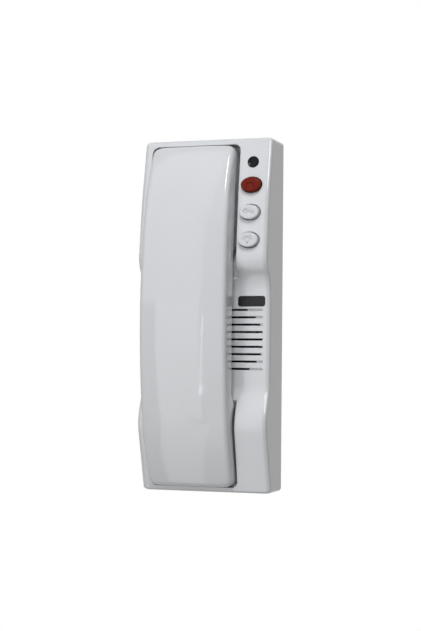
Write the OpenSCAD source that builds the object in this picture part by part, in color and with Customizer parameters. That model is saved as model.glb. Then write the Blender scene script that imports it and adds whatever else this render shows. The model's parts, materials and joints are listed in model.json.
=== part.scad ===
// Audio intercom handset lying in the cradle of its wall unit, with three keys, a status light
// and a call speaker beside it. Sizes are in millimetres.
// The pieces are drawn in the panel's own frame: x to the right, y up the wall, z out of the wall.
// on_wall() then stands them up: X to the right, Z up, the wall is the plane Y = 0, the front faces -Y.

/* [Wall unit] */
// Width of the wall unit
unit_w = 84; // [80:1:92]
// Height of the wall unit
unit_h = 220; // [216:1:230]
// Wall of the front housing
wall = 2.4; // [1.8:0.1:2.8]
// Radius of the corners seen from the front
corner_r = 5.5; // [3:0.5:8]
// Rounding of the front edges
edge_r = 2.6; // [1.5:0.1:3.5]

/* [Face profile] */
// Depth of the face at the top end
top_depth = 22.4; // [20:0.2:25]
// Distance from the top end down to the shoulder
shoulder_drop = 38; // [32:1:44]
// Depth of the face at the shoulder
shoulder_depth = 32.2; // [31:0.1:33]
// Blend radius at the shoulder
shoulder_r = 260; // [150:10:300]
// Distance from the top end down to the crest above the waist
crest_drop = 80; // [78:0.5:81]
// Depth of the face at the crest
crest_depth = 36.8; // [35.5:0.1:38]
// Blend radius at the crest
crest_r = 14; // [8:1:18]
// Length of the slope from the crest down to the waist
upper_slope = 15.5; // [14:0.5:17]
// Depth of the flat waist that holds the grille
waist_depth = 28; // [27:0.1:29]
// Blend radius at both ends of the waist
waist_r = 16; // [10:1:20]
// Distance from the bottom end up to the chin crest
chin_rise = 44; // [41:0.5:46]
// Length of the slope from the chin crest up to the waist
lower_slope = 20; // [18:0.5:22]
// Depth of the face at the chin crest
chin_depth = 36.2; // [35:0.1:37.5]
// Blend radius at the chin crest
chin_r = 22; // [14:1:26]
// Depth of the face at the bottom end
bottom_depth = 21.6; // [20:0.2:24]

/* [Handset] */
// Height at which the handset is widest
handset_mid_y = -20; // [-28:1:-12]
// Radius of the handset's bowed sides
side_bow_r = 2560; // [2000:20:3600]
// How far the flanks lean out towards the back
flank_lean = 0.6; // [0:0.1:0.9]
// Depth of the handset's front at its middle
handset_depth = 51.2; // [49:0.1:54]
// Radius of the middle stretch of the handset's front bow
front_mid_r = 430; // [360:10:520]
// Depth of the handset's front at its lower end
end_front_depth = 32.6; // [31.5:0.1:35]
// Height above and below the middle where the two radii meet
front_blend_y = 60; // [50:1:70]
// Crown of the front across its width
front_crown = 1.6; // [1:0.1:2.6]
// Rounding of the long front edges
handset_edge_r = 3.2; // [2.6:0.1:5]
// Rounding of the end edges
handset_end_r = 3.6; // [2.6:0.1:5]
// Radius of the handset's corners seen from the front
handset_corner_r = 4; // [3.5:0.5:7]
// Depth of the back of the ear and mouth pieces
cup_back = 15.2; // [15:0.1:16.5]
// Thickness of the grip at its middle
grip_t = 14.2; // [13:0.1:15.5]
// How much deeper the grip's back lies at its two ends
grip_bow = 1.8; // [1:0.1:2.4]
// Length of the ear piece up to the foot of its slope
ear_len = 52.2; // [50:0.1:53]
// Length of the mouth piece up to the foot of its slope
mouth_len = 34.2; // [32:0.1:35]
// Length of the slopes between these pieces and the grip
grip_slope = 21; // [20:0.5:22]
// Wall of the handset shell
shell_wall = 2.2; // [1.8:0.1:2.6]
// Thickness of the handset's inner cover
cover_t = 2.2; // [1.6:0.1:2.6]
// Distance from the handset's upper end down to the receiver
receiver_drop = 25.2; // [22:0.1:27]
// Diameter of the receiver capsule
receiver_d = 31; // [26:0.5:34]
// Height of the receiver capsule
receiver_h = 8; // [6:0.5:10]
// Distance from the handset's lower end up to the microphone
microphone_rise = 15.2; // [14:0.1:17]
// Diameter of the microphone capsule
microphone_d = 9.7; // [8:0.1:10]
// Distance of the two handset screws from the feet of the slopes
foot_to_screw = 5; // [4.5:0.1:6]
// Length of the weight in the grip
weight_len = 44; // [30:1:50]
// Thickness of the weight in the grip
weight_t = 4; // [3:0.2:5]

/* [Cradle] */
// Width of the strip with the keys, right of the cradle
strip_w = 19.4; // [19:0.1:20.4]
// Width of the border left of the cradle
left_border = 3.8; // [3.6:0.1:4.6]
// Width of the border above the cradle
top_border = 3.6; // [3.4:0.1:4.6]
// Width of the border below the cradle
bottom_border = 3.5; // [3.4:0.1:4.6]
// Gap between the handset's flanks and the cradle's sides
cradle_gap = 1; // [0.8:0.1:1.2]
// Gap between the cradle's upper end and the handset
cradle_top_gap = 1.2; // [1:0.1:1.4]
// Gap between each seat and the handset that lies on it
seat_gap = 0.3; // [0.2:0.05:0.5]
// Radius of the cradle's bowed sides
cradle_bow_r = 4600; // [4000:50:6000]
// Height at which the cradle is widest
cradle_mid_y = -5; // [-8:1:0]
// Radius of the cradle's corners
cradle_corner_r = 5; // [4:0.5:6]
// Side wall of the cradle
cradle_wall = 1; // [0.8:0.1:1]
// Distance from the foot of the ear piece's slope to the foot of the cradle's upper ramp
ear_ramp_gap = 7; // [6:0.5:8]
// Distance from the foot of the mouth piece's slope to the foot of the cradle's lower ramp
mouth_ramp_gap = 6; // [5:0.5:7]
// Length of the cradle's ramps
ramp_len = 14; // [12:0.5:16]

/* [Keys and light] */
// Distance of the keys and the light from the unit's right side
key_inset = 11.5; // [10.8:0.1:11.6]
// Width of a key
key_w = 13.8; // [12:0.1:13.8]
// Height of a key
key_h = 9.8; // [8.5:0.1:10.5]
// How far a key stands out of the face
key_proud = 3.2; // [1.6:0.1:3.6]
// Rounding of a key's edge
key_edge_r = 0.9; // [0.4:0.1:1.1]
// Distance from the top end down to the call key
call_key_drop = 30; // [29.5:0.1:30.5]
// Distance between neighbouring keys
key_pitch = 17.2; // [16.8:0.1:17.4]
// Travel of a key
key_travel = 0.8; // [0.4:0.1:1]
// Gap round a key in its hole
key_gap = 0.25; // [0.2:0.05:0.3]
// Distance from the top end down to the status light
light_drop = 14.9; // [14.4:0.1:15.2]
// Diameter of the light's bezel
bezel_d = 7.2; // [6.6:0.1:7.4]
// Diameter of the light's lens
light_d = 5; // [4.6:0.1:5]
// Thickness of the circuit boards
board_t = 1.6; // [1:0.1:1.6]
// Depth of the front face of the key board
key_board_front = 17.2; // [16.8:0.1:17.6]
// Height of a key switch
switch_h = 3.5; // [3:0.1:3.8]
// Side of a key switch
switch_side = 6; // [5:0.1:6.2]
// Diameter of a switch plunger
plunger_d = 3.5; // [3:0.1:3.6]

/* [Speaker and grille] */
// Distance of the speaker's middle from the unit's right side
speaker_inset = 26.5; // [26.5:0.1:27]
// Distance from the head of the cradle's lower ramp up to the speaker's middle
speaker_rise = 36.8; // [36:0.1:37.4]
// Diameter of the speaker
speaker_d = 46; // [44:0.5:46]
// Diameter of the speaker's magnet
magnet_d = 26; // [20:0.5:30]
// Depth of the speaker behind its flange
speaker_h = 14; // [11:0.5:16]
// Number of grille lines
grille_lines = 9; // [5:2:9]
// Distance between grille lines
grille_pitch = 4.55; // [4:0.05:4.7]
// Height of a grille slot
grille_slot = 1.3; // [0.8:0.1:1.8]
// Radius inside which the grille lines are cut through
grille_r = 21.2; // [16:0.1:21.2]
// Half length of the shallow grille grooves
groove_half = 22; // [21.5:0.1:22.5]
// Depth of the shallow grille grooves
groove_depth = 0.8; // [0.4:0.1:1]

/* [Hook] */
// Gap between the hook's bracket and the left side wall
bracket_side_gap = 1.6; // [1:0.1:2.4]
// Distance from the foot of the ear piece's slope down to the hook lever's pin
pin_setback = 1; // [0:0.1:2]
// Depth of the hook lever's pin
hook_pin_z = 6.2; // [6:0.1:6.4]
// Diameter of the hook lever's pin
hook_pin_d = 2; // [1.6:0.1:2.4]
// Distance from the pin to the nub that the handset presses
nub_reach = 28; // [24:0.5:30]
// Length of the nub along the lever
nub_len = 8; // [6:0.5:9]
// Width of the lever
lever_w = 8; // [6:0.5:8]
// Thickness of the lever
lever_t = 2; // [1.6:0.1:2.2]
// Distance from the pin to the end of the lever's tail
tail_reach = 18; // [17:0.5:19]
// Angle through which the lever turns
hook_angle = 7; // [5:0.5:7.5]
// Turns of the hook spring
spring_turns = 4; // [3:1:5]
// Wire of the hook spring
spring_wire = 0.5; // [0.4:0.05:0.5]

/* [Boards and plate] */
// Depth of the wall side of the main board
main_board_back = 14.8; // [14.6:0.1:15.2]
// Distance from the hook lever's pin down to the main board
board_below_pin = 14; // [13.6:0.1:14.5]
// Distance from the head of the cradle's lower ramp up to the main board
board_above_ramp = 8; // [7:0.5:12]
// Diameter of the screws in the plastic
screw_d = 2.2; // [1.8:0.1:2.4]
// Poles of the terminal block
terminal_poles = 6; // [4:1:7]
// Distance between terminals
terminal_pitch = 3.8; // [3.5:0.1:4]
// Thickness of the back plate
plate_t = 2.2; // [1.8:0.1:2.4]
// Gap between the back plate and the housing
plate_gap = 0.25; // [0.15:0.05:0.4]
// Distance between the two wall screw holes
wall_hole_pitch = 60; // [54:1:64]
// Diameter of the wall screw holes
wall_hole_d = 4.4; // [3.6:0.1:5]
// Width of the cable entry in the back plate
entry_w = 26; // [18:1:30]
// Height of the cable entry in the back plate
entry_h = 12; // [8:1:14]
// Height of the middle of the cable entry
entry_y = -8; // [-10:0.5:-7.5]
// Diameter of the lock screw's thread
lock_d = 3; // [2.6:0.1:3.4]
// Diameter of the bores for the handset cord
cord_bore = 3.6; // [3:0.1:4]

/* [Hidden] */
$fn = 48;

// A hair of overlap that keeps cuts from ending flush with a face
hair = 0.02;
// Longer than any depth of the object
far = 80;
// Clearance between parts that slide in one another
slide_gap = 0.15;
// Clearance between fixed parts
fixed_gap = 0.1;
cavity_x = unit_w / 2 - wall;
cavity_y = unit_h / 2 - wall;

// Heights on the face, from the top end and from the bottom end
shoulder_y = unit_h / 2 - shoulder_drop;
crest_y = unit_h / 2 - crest_drop;
waist_top_y = crest_y - upper_slope;
chin_y = -unit_h / 2 + chin_rise;
waist_bottom_y = chin_y + lower_slope;
call_key_y = unit_h / 2 - call_key_drop;
key_ys = [call_key_y, call_key_y - key_pitch, call_key_y - 2 * key_pitch];
light_y = unit_h / 2 - light_drop;
key_x = unit_w / 2 - key_inset;
speaker_x = unit_w / 2 - speaker_inset;
waist_inner = waist_depth - wall;

// The cradle lies between the borders and the strip, and the handset lies in the cradle
cradle_half = (unit_w - left_border - strip_w) / 2;
cradle_top = unit_h / 2 - top_border;
cradle_bottom = -unit_h / 2 + bottom_border;
cradle_floor = cup_back - seat_gap;
handset_x = -unit_w / 2 + left_border + cradle_half;
handset_half = cradle_half - cradle_gap - flank_lean;
handset_top = cradle_top - cradle_top_gap;
handset_bottom = cradle_bottom + seat_gap;
ear_foot_y = handset_top - ear_len;
mouth_foot_y = handset_bottom + mouth_len;
grip_top_y = ear_foot_y - grip_slope;
grip_bottom_y = mouth_foot_y + grip_slope;
grip_back = handset_depth - grip_t;
grip_end_back = grip_back - grip_bow;
receiver_y = handset_top - receiver_drop;
microphone_y = handset_bottom + microphone_rise;
ear_screw_y = ear_foot_y + foot_to_screw;
mouth_screw_y = mouth_foot_y - foot_to_screw;
upper_ramp_foot = ear_foot_y - ear_ramp_gap;
upper_ramp_head = upper_ramp_foot - ramp_len;
lower_ramp_foot = mouth_foot_y + mouth_ramp_gap;
lower_ramp_head = lower_ramp_foot + ramp_len;
speaker_y = lower_ramp_head + speaker_rise;

// The hook's bracket lies against the left side wall, below the ear piece
bracket_half = 13;
hook_x = -cavity_x + bracket_side_gap + bracket_half;
hook_pin_y = ear_foot_y - pin_setback;
hook_switch_deep = 5.8;
hook_switch_y = hook_pin_y - tail_reach + 1.5;
main_board_top = hook_pin_y - board_below_pin;
main_board_bottom = lower_ramp_head + board_above_ramp;
main_board_front = main_board_back + board_t;

// Vector helpers for filleted paths
function unit(v) = v / norm(v);
function turned(a) = a > 180 ? a - 360 : a < -180 ? a + 360 : a;

// Arc that blends the corner q of the path p, q, s, in steps of so many degrees; points are [y, z, radius]
function fillet(p, q, s, degrees) =
    let (u = unit([p.x - q.x, p.y - q.y]), w = unit([s.x - q.x, s.y - q.y]),
        half = acos(u * w) / 2, r = q[2], c = [q.x, q.y] + unit(u + w) * r / sin(half),
        from = [q.x, q.y] + u * r / tan(half) - c, to = [q.x, q.y] + w * r / tan(half) - c,
        a = atan2(from.y, from.x), sweep = turned(atan2(to.y, to.x) - a),
        steps = max(3, ceil(abs(sweep) / degrees)))
    [for (i = [0 : steps]) c + r * [cos(a + sweep * i / steps), sin(a + sweep * i / steps)]];

// A path of [y, z, radius] corners with every inner corner blended
function blended(path, degrees) =
    let (last = len(path) - 1)
    [[path[0].x, path[0].y],
        for (i = [1 : last - 1]) each fillet(path[i - 1], path[i], path[i + 1], degrees),
        [path[last].x, path[last].y]];

// Face of the wall unit from the bottom end to the top end
face_path = blended([[-unit_h / 2, bottom_depth], [chin_y, chin_depth, chin_r],
    [waist_bottom_y, waist_depth, waist_r], [waist_top_y, waist_depth, waist_r],
    [crest_y, crest_depth, crest_r], [shoulder_y, shoulder_depth, shoulder_r],
    [unit_h / 2, top_depth]], 5);
function face(y) = lookup(y, face_path);
// Slope of the face in degrees at the height y, over a short stretch
function face_slope(y) = atan((face(y - 2) - face(y + 2)) / 4);

// Depth of the cradle's floor where it runs out on the waist
sill = waist_depth + hair;
// Floor of the cradle from the bottom end to the top end
floor_path = [[cradle_bottom - far, cradle_floor], [lower_ramp_foot, cradle_floor],
    [lower_ramp_head, sill], [upper_ramp_head, sill],
    [upper_ramp_foot, cradle_floor], [cradle_top + far, cradle_floor]];
// Depth of the skin that lies over the inside of the unit, within the cradle's width
function skin(y) = min(face(y), lookup(y, floor_path));

// Back edge of the handset from its lower to its upper end
grip_mid_y = (grip_top_y + grip_bottom_y) / 2;
grip_bow_r = 330;
grip_end_r = 7;
cup_r = 5;
back_path = blended([[handset_bottom, cup_back], [mouth_foot_y, cup_back, cup_r],
    [grip_bottom_y, grip_end_back, grip_end_r], [grip_mid_y, grip_back, grip_bow_r],
    [grip_top_y, grip_end_back, grip_end_r], [ear_foot_y, cup_back, cup_r],
    [handset_top, cup_back]], 12);
function back(y) = lookup(y, back_path);

// Drop of the handset's front below its middle: one radius in the middle, a tighter one at the ends,
// which starts along the first and reaches the depth of the lower end
front_blend_angle = asin(front_blend_y / front_mid_r);
front_blend_drop = front_mid_r * (1 - cos(front_blend_angle));
end_run = [-handset_bottom - front_blend_y, handset_depth - end_front_depth - front_blend_drop];
front_end_r = norm(end_run) / (2 * sin(atan2(end_run.y, end_run.x) - front_blend_angle));
function front_drop(y) =
    let (a = abs(y))
    a < front_blend_y ? front_mid_r * (1 - cos(asin(a / front_mid_r)))
    : front_blend_drop + front_end_r * (cos(front_blend_angle)
        - cos(asin(sin(front_blend_angle) + (a - front_blend_y) / front_end_r)));
function front(y) = handset_depth - front_drop(y);

// How much a rounded end takes off at the height y, for ends at low and high and the radius r
function end_inset(y, low, high, r) =
    let (e = min(y - low, high - y))
    e >= r ? 0 : r - sqrt(max(0, r * r - (r - e) * (r - e)));
// Heights close together in the rounded ends and evenly spaced between them
function end_heights(edge, way, r, steps) =
    [for (i = [0 : steps]) edge + way * r * (1 - cos(i * 90 / steps))];
function heights(low, high, r, end_steps, mid_steps) =
    concat(end_heights(low, 1, r, end_steps),
        [for (i = [1 : mid_steps - 1]) low + r + (high - low - 2 * r) * i / mid_steps],
        [for (i = [end_steps : -1 : 0]) high - r * (1 - cos(i * 90 / end_steps))]);

// Half width of a form with bowed sides
function bowed(y, half, mid, radius) = half - pow(y - mid, 2) / (2 * radius);
function handset_width(y) = bowed(y, handset_half, handset_mid_y, side_bow_r);
function cradle_width(y) = bowed(y, cradle_half, cradle_mid_y, cradle_bow_r);

// Outlines in the panel's plane, drawn in by inset on every side
function outline(x, widths, ys) =
    [for (i = [0 : len(ys) - 1]) [x + widths[i], ys[i]],
        for (i = [len(ys) - 1 : -1 : 0]) [x - widths[i], ys[i]]];
function cradle_outline(inset) =
    let (low = cradle_bottom + inset, high = cradle_top - inset, r = cradle_corner_r - inset,
        ys = heights(low, high, r, 5, 10))
    outline(handset_x, [for (y = ys) cradle_width(y) - inset - end_inset(y, low, high, r)], ys);
function handset_outline(inset) =
    let (low = handset_bottom + inset, high = handset_top - inset,
        r = max(0.5, handset_corner_r - inset), ys = heights(low, high, r, 5, 10))
    outline(handset_x, [for (y = ys) handset_width(y) - inset - end_inset(y, low, high, r)], ys);

// Solid through a list of rings, each a closed list of points in the same order
module loft(rings) {
    n = len(rings[0]);
    m = len(rings);
    polyhedron(points = [for (r = rings) each r],
        faces = concat(
            [for (i = [0 : m - 2], j = [0 : n - 1]) let (k = (j + 1) % n)
                each [[i * n + j, (i + 1) * n + k, i * n + k],
                    [i * n + j, (i + 1) * n + j, (i + 1) * n + k]]],
            [[for (j = [0 : n - 1]) j]], [[for (j = [n - 1 : -1 : 0]) (m - 1) * n + j]]));
}

// Stands the panel frame up against the wall
module on_wall() rotate([90, 0, 0]) children();
// Sweeps a profile of [y, z] points along x
module across(width, x = 0)
    translate([x, 0, 0]) rotate([90, 0, 90]) linear_extrude(height = width, center = true) children();
// A box from its lowest to its highest corner
module box(low, high) translate(low) cube(high - low);
// A cylinder along z from one depth to another
module post(x, y, z0, z1, d) translate([x, y, z0]) cylinder(d = d, h = z1 - z0);
// A cylinder along y from one height to another
module bar_up(x, z, y0, y1, d) translate([x, y0, z]) rotate([-90, 0, 0]) cylinder(d = d, h = y1 - y0);
// A cylinder along x
module bar_across(x0, x1, y, z, d) translate([x0, y, z]) rotate([0, 90, 0]) cylinder(d = d, h = x1 - x0);
// Frame on the face at the point x, y, with z square to the face
module on_face(x, y) translate([x, y, face(y)]) rotate([-face_slope(y), 0, 0]) children();
// Pan head screw whose head seats at the origin, with its shank towards +z
module screw(d, length, head_d, head_h) {
    cylinder(d = d, h = length);
    rotate_extrude() polygon([[0, -head_h], [head_d * 0.3, -head_h], [head_d / 2, -head_h * 0.45],
        [head_d / 2, 0], [0, 0]]);
}
// Ring along z
module ring(outer, inner, h) difference() {
    cylinder(d = outer, h = h);
    translate([0, 0, -hair]) cylinder(d = inner, h = h + 2 * hair);
}
// Sides of the polygon that stands for a key's oval
key_sides = 48;
function oval(w, h, n) = [for (i = [0 : n - 1]) [w / 2 * cos(i * 360 / n), h / 2 * sin(i * 360 / n)]];

// Front housing

// Section of the unit at the height y, from the back left corner round the face to the back right
edge_steps = 5;
function unit_section(y) =
    let (hw = unit_w / 2 - end_inset(y, -unit_h / 2, unit_h / 2, corner_r),
        z = face(y) - end_inset(y, -unit_h / 2, unit_h / 2, edge_r),
        r = edge_r, arc = [for (i = [0 : edge_steps]) i * 90 / edge_steps])
    concat([[-hw, y, 0]],
        [for (a = arc) [-hw + r * (1 - cos(a)), y, z - r * (1 - sin(a))]],
        [for (i = [edge_steps : -1 : 0]) [hw - r * (1 - cos(arc[i])), y, z - r * (1 - sin(arc[i]))]],
        [[hw, y, 0]]);
unit_end_steps = 6;
unit_inner_end = unit_h / 2 - corner_r;
unit_heights = concat(end_heights(-unit_h / 2, 1, corner_r, unit_end_steps),
    [for (p = face_path) if (abs(p.x) < unit_inner_end - 1) p.x],
    [for (i = [unit_end_steps : -1 : 0]) unit_h / 2 - corner_r * (1 - cos(i * 90 / unit_end_steps))]);

// The cradle's two hollows start on the waist, where its slopes begin
cradle_mouth_top = waist_top_y - waist_r / 2;
cradle_mouth_bottom = waist_bottom_y + waist_r / 2;
// Space of the cradle, with its floor and sides moved out by the given amounts
module cradle_space(sides, below) intersection() {
    linear_extrude(height = far) polygon(cradle_outline(-sides));
    union() {
        across(unit_w) polygon([[cradle_mouth_top, far], [cradle_mouth_top, sill - below],
            [upper_ramp_head, sill - below], [upper_ramp_foot, cradle_floor - below],
            [unit_h, cradle_floor - below], [unit_h, far]]);
        across(unit_w) polygon([[cradle_mouth_bottom, far], [-unit_h, far],
            [-unit_h, cradle_floor - below], [lower_ramp_foot, cradle_floor - below],
            [lower_ramp_head, sill - below], [cradle_mouth_bottom, sill - below]]);
    }
}
// Inside of the unit, open at the back
module unit_cavity() difference() {
    across(2 * cavity_x) polygon(concat([[-cavity_y, -1], [-cavity_y, face(-cavity_y) - wall]],
        [for (p = face_path) if (abs(p.x) < cavity_y) [p.x, p.y - wall]],
        [[cavity_y, face(cavity_y) - wall], [cavity_y, -1]]));
    cradle_space(cradle_wall, wall);
}

key_hole_w = key_w + 2 * key_gap;
key_hole_h = key_h + 2 * key_gap;
bezel_hole_d = bezel_d + 2 * fixed_gap;
// Bosses: on the key board they stand in the narrow gaps between the keys, so they are slimmer
boss_d = 4.4;
key_boss_d = 3.6;
// The pilots and shanks are thinner than the thread, and the holes in loose parts are wider
thread_bite = 0.5;
screw_play = 0.4;
pilot_d = screw_d - thread_bite;
pilot_len = 5;
key_flange_w = 13;
key_flange_h = key_h + 2.2;
bezel_flange_d = bezel_d + 0.8;
// How far the slope of the face moves the bezel's inner flange down
bezel_flange_drop = 1;
call_flange_top = call_key_y + key_flange_h / 2;
bezel_flange_low = light_y - bezel_flange_drop - bezel_flange_d / 2;
// Between the bezel and the call key, and between the two lower keys
key_board_posts = [[key_x, (call_flange_top + bezel_flange_low) / 2],
    [key_x, (key_ys[1] + key_ys[2]) / 2]];
main_board_x0 = -cavity_x + 1;
board_beside_speaker = 1.8;
main_board_x1 = speaker_x - speaker_d / 2 - board_beside_speaker;
board_inset = 3;
screw_head_d = 4;
screw_head_h = 1.4;
// The upper pair of bosses stays clear of the hook switch
upper_post_y = hook_switch_y - hook_switch_deep / 2 - screw_head_d / 2 - 0.6;
main_board_posts = [for (x = [main_board_x0 + board_inset, main_board_x1 - board_inset],
    y = [main_board_bottom + board_inset, upper_post_y]) [x, y]];
bracket_reach = 4;
bracket_screw_x = 10.4;
bracket_front = 10;
bracket_t = 1.2;
bracket_posts = [for (side = [-1, 1]) [hook_x + side * bracket_screw_x, hook_pin_y]];

// Board bosses, with pilot holes from the wall side
module board_bosses() {
    for (p = key_board_posts) post(p.x, p.y, key_board_front, face(p.y) - wall / 2, key_boss_d);
    for (p = main_board_posts) post(p.x, p.y, main_board_front, skin(p.y) - wall / 2, boss_d);
    for (p = bracket_posts) post(p.x, p.y, bracket_front, cradle_floor - wall / 2, boss_d);
}
module board_pilots() {
    for (p = key_board_posts) post(p.x, p.y, key_board_front - 1, key_board_front + pilot_len, pilot_d);
    for (p = main_board_posts) post(p.x, p.y, main_board_front - 1, main_board_front + pilot_len, pilot_d);
    for (p = bracket_posts)
        post(p.x, p.y, bracket_front - 1, cradle_floor - wall / 3, pilot_d);
}

// Rib that the speaker is pressed into
speaker_rib_t = 1;
speaker_rib_h = 4;
gasket_t = 0.8;
gasket_w = 1.4;
module speaker_rib() translate([speaker_x, speaker_y, waist_inner - speaker_rib_h])
    ring(speaker_d + 2 * fixed_gap + 2 * speaker_rib_t, speaker_d + 2 * fixed_gap, speaker_rib_h + wall / 2);

// Slots of the grille: cut through inside the circle, shallow beyond it
module grille() for (i = [0 : grille_lines - 1]) {
    dy = (i - (grille_lines - 1) / 2) * grille_pitch;
    half = sqrt(max(1, grille_r * grille_r - dy * dy));
    translate([speaker_x, speaker_y + dy, waist_depth]) {
        cube([2 * half, grille_slot, 3 * wall], center = true);
        cube([2 * groove_half, grille_slot, 2 * groove_depth], center = true);
    }
}

nub_w = 5;
nub_room = 0.6;
nub_slope = 1.8;
nub_chamfer = 1;
// The nub swings back towards the pin by this much as it rises
nub_swing = (cradle_floor - hook_pin_z) * sin(hook_angle) + nub_reach * (1 - cos(hook_angle));
nub_low = hook_pin_y + nub_reach - nub_len / 2;
nub_high = hook_pin_y + nub_reach + nub_len / 2;
module hook_slot()
    box([hook_x - nub_w / 2 - nub_room, nub_low - nub_swing - nub_room, cradle_floor - wall - 1],
        [hook_x + nub_w / 2 + nub_room, nub_high + nub_room, cradle_floor + 1]);

lock_x = 0;
lock_z = 7.4;
lock_head_d = 5.6;
lock_head_h = 1.2;
lock_recess = 1.4;
lock_hole_gap = 0.2;
lock_head_gap = 0.3;
module lock_hole() {
    bar_up(lock_x, lock_z, -unit_h / 2 - 1, -cavity_y + 1, lock_d + 2 * lock_hole_gap);
    bar_up(lock_x, lock_z, -unit_h / 2 - 1, -unit_h / 2 + lock_recess, lock_head_d + 2 * lock_head_gap);
}
tab_w = 10;
tab_reach = 1.2;
tab_gap = 0.3;
tab_xs = [-24, 24];
module plate_notches() for (x = tab_xs)
    box([x - tab_w / 2 - tab_gap, cavity_y - 1, -1],
        [x + tab_w / 2 + tab_gap, cavity_y + tab_reach, plate_t + tab_gap]);

grommet_x = unit_w / 2 - 11;
grommet_z = 9.5;
grommet_d = 6.8;

module front_housing() color("gainsboro") on_wall() difference() {
    union() {
        difference() {
            loft([for (y = unit_heights) unit_section(y)]);
            unit_cavity();
        }
        board_bosses();
        speaker_rib();
    }
    cradle_space(0, 0);
    for (y = key_ys) translate([key_x, y, key_board_front])
        linear_extrude(height = far) polygon(oval(key_hole_w, key_hole_h, key_sides));
    on_face(key_x, light_y) translate([0, 0, -2 * wall]) cylinder(d = bezel_hole_d, h = 4 * wall);
    grille();
    hook_slot();
    board_pilots();
    lock_hole();
    plate_notches();
    bar_up(grommet_x, grommet_z, -unit_h / 2 - 1, -cavity_y + 1, grommet_d + 2 * fixed_gap);
}

// Back plate with its hooks, its lock tab and its ribs

plate_x = cavity_x - plate_gap;
plate_y = cavity_y - plate_gap;
lock_tab_t = 2.4;
lock_tab_w = 12;
lock_tab_over = 3.6;
// How much of the thread's diameter bites into the tab
lock_thread = 0.4;
tab_lift = 0.5;
rib_h = 1;
rib_t = 1.4;
rib_x = 17;
rib_low = -plate_y + 12;
rib_high = 25;
wall_pad_d = 10;
wall_hole_ys = [-wall_hole_pitch / 2, wall_hole_pitch / 2];
module back_plate() color("lightgray") on_wall() difference() {
    union() {
        box([-plate_x, -plate_y, 0], [plate_x, plate_y, plate_t]);
        for (x = tab_xs)
            box([x - tab_w / 2, plate_y - 1, tab_lift], [x + tab_w / 2, plate_y + tab_reach, plate_t]);
        box([lock_x - lock_tab_w / 2, -plate_y, 0],
            [lock_x + lock_tab_w / 2, -plate_y + lock_tab_t, lock_z + lock_tab_over]);
        for (y = wall_hole_ys) post(0, y, 0, plate_t + rib_h, wall_pad_d);
        for (x = [-rib_x, rib_x])
            box([x - rib_t / 2, rib_low, 0], [x + rib_t / 2, rib_high, plate_t + rib_h]);
    }
    for (y = wall_hole_ys) post(0, y, -1, plate_t + rib_h + 1, wall_hole_d);
    translate([0, entry_y, plate_t / 2]) cube([entry_w, entry_h, 4 * plate_t], center = true);
    bar_up(lock_x, lock_z, -plate_y - 1, -plate_y + lock_tab_t + 1, lock_d - lock_thread);
}
lock_len = 8;
cross_len = 3;
cross_w = 0.7;
cross_deep = 0.6;
module lock_screw() color("silver") on_wall()
    translate([lock_x, -unit_h / 2 + lock_recess, lock_z]) rotate([-90, 0, 0]) difference() {
        screw(lock_d - lock_thread - fixed_gap, lock_len, lock_head_d, lock_head_h);
        for (a = [0, 90]) rotate(a) translate([0, 0, -lock_head_h])
            cube([cross_len, cross_w, 2 * cross_deep], center = true);
    }

// Boards and what they carry

module main_board() color("darkgreen") on_wall() difference() {
    box([main_board_x0, main_board_bottom, main_board_back],
        [main_board_x1, main_board_top, main_board_front]);
    for (p = main_board_posts)
        post(p.x, p.y, main_board_back - 1, main_board_front + 1, screw_d + screw_play);
}
key_board_margin = 9;
key_board_x0 = handset_x + cradle_half + cradle_wall + 0.6;
key_board_x1 = cavity_x - 0.6;
module key_board() color("darkgreen") on_wall() difference() {
    box([key_board_x0, key_ys[2] - key_board_margin, key_board_front - board_t],
        [key_board_x1, light_y + key_board_margin - 2, key_board_front]);
    for (p = key_board_posts)
        post(p.x, p.y, key_board_front - board_t - 1, key_board_front + 1, screw_d + screw_play);
}
screw_bite = 4;
board_screw_len = board_t + screw_bite;
module board_screws() color("silver") on_wall() {
    for (p = key_board_posts) translate([p.x, p.y, key_board_front - board_t])
        screw(pilot_d, board_screw_len, screw_head_d, screw_head_h);
    for (p = main_board_posts) translate([p.x, p.y, main_board_back])
        screw(pilot_d, board_screw_len, screw_head_d, screw_head_h);
}
terminal_w = terminal_poles * terminal_pitch;
terminal_x = (main_board_x0 + main_board_x1) / 2;
terminal_rise = 20;
terminal_y = main_board_bottom + terminal_rise;
terminal_deep = 8;
terminal_h = 8;
terminal_screw_d = 2.8;
terminal_floor = 3;
terminal_slot = 0.6;
// Mouth for a wire: half its width, how far in it goes, and its two depths below the board
wire_half = 1.2;
wire_in = 1.4;
wire_low = 5;
wire_high = 2.4;
terminal_screw_len = terminal_h - terminal_floor - terminal_slot;
function terminal_at(i) = terminal_x + (i - (terminal_poles - 1) / 2) * terminal_pitch;
module terminal_block() color("forestgreen") on_wall() difference() {
    box([terminal_x - terminal_w / 2, terminal_y, main_board_back - terminal_h],
        [terminal_x + terminal_w / 2, terminal_y + terminal_deep, main_board_back]);
    for (i = [0 : terminal_poles - 1]) {
        post(terminal_at(i), terminal_y + terminal_deep / 2, main_board_back - terminal_h - 1,
            main_board_back - terminal_floor, terminal_screw_d + 2 * fixed_gap);
        box([terminal_at(i) - wire_half, terminal_y + terminal_deep - wire_in, main_board_back - wire_low],
            [terminal_at(i) + wire_half, terminal_y + terminal_deep + 1, main_board_back - wire_high]);
    }
}
module terminal_screws() color("silver") on_wall() for (i = [0 : terminal_poles - 1])
    translate([terminal_at(i), terminal_y + terminal_deep / 2, main_board_back - terminal_floor])
        rotate([180, 0, 0])
        difference() {
            cylinder(d = terminal_screw_d, h = terminal_screw_len);
            translate([0, 0, terminal_screw_len])
                cube([far, terminal_slot, 2 * terminal_slot], center = true);
        }
capacitor_d = 6.3;
capacitor_h = 7.5;
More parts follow.
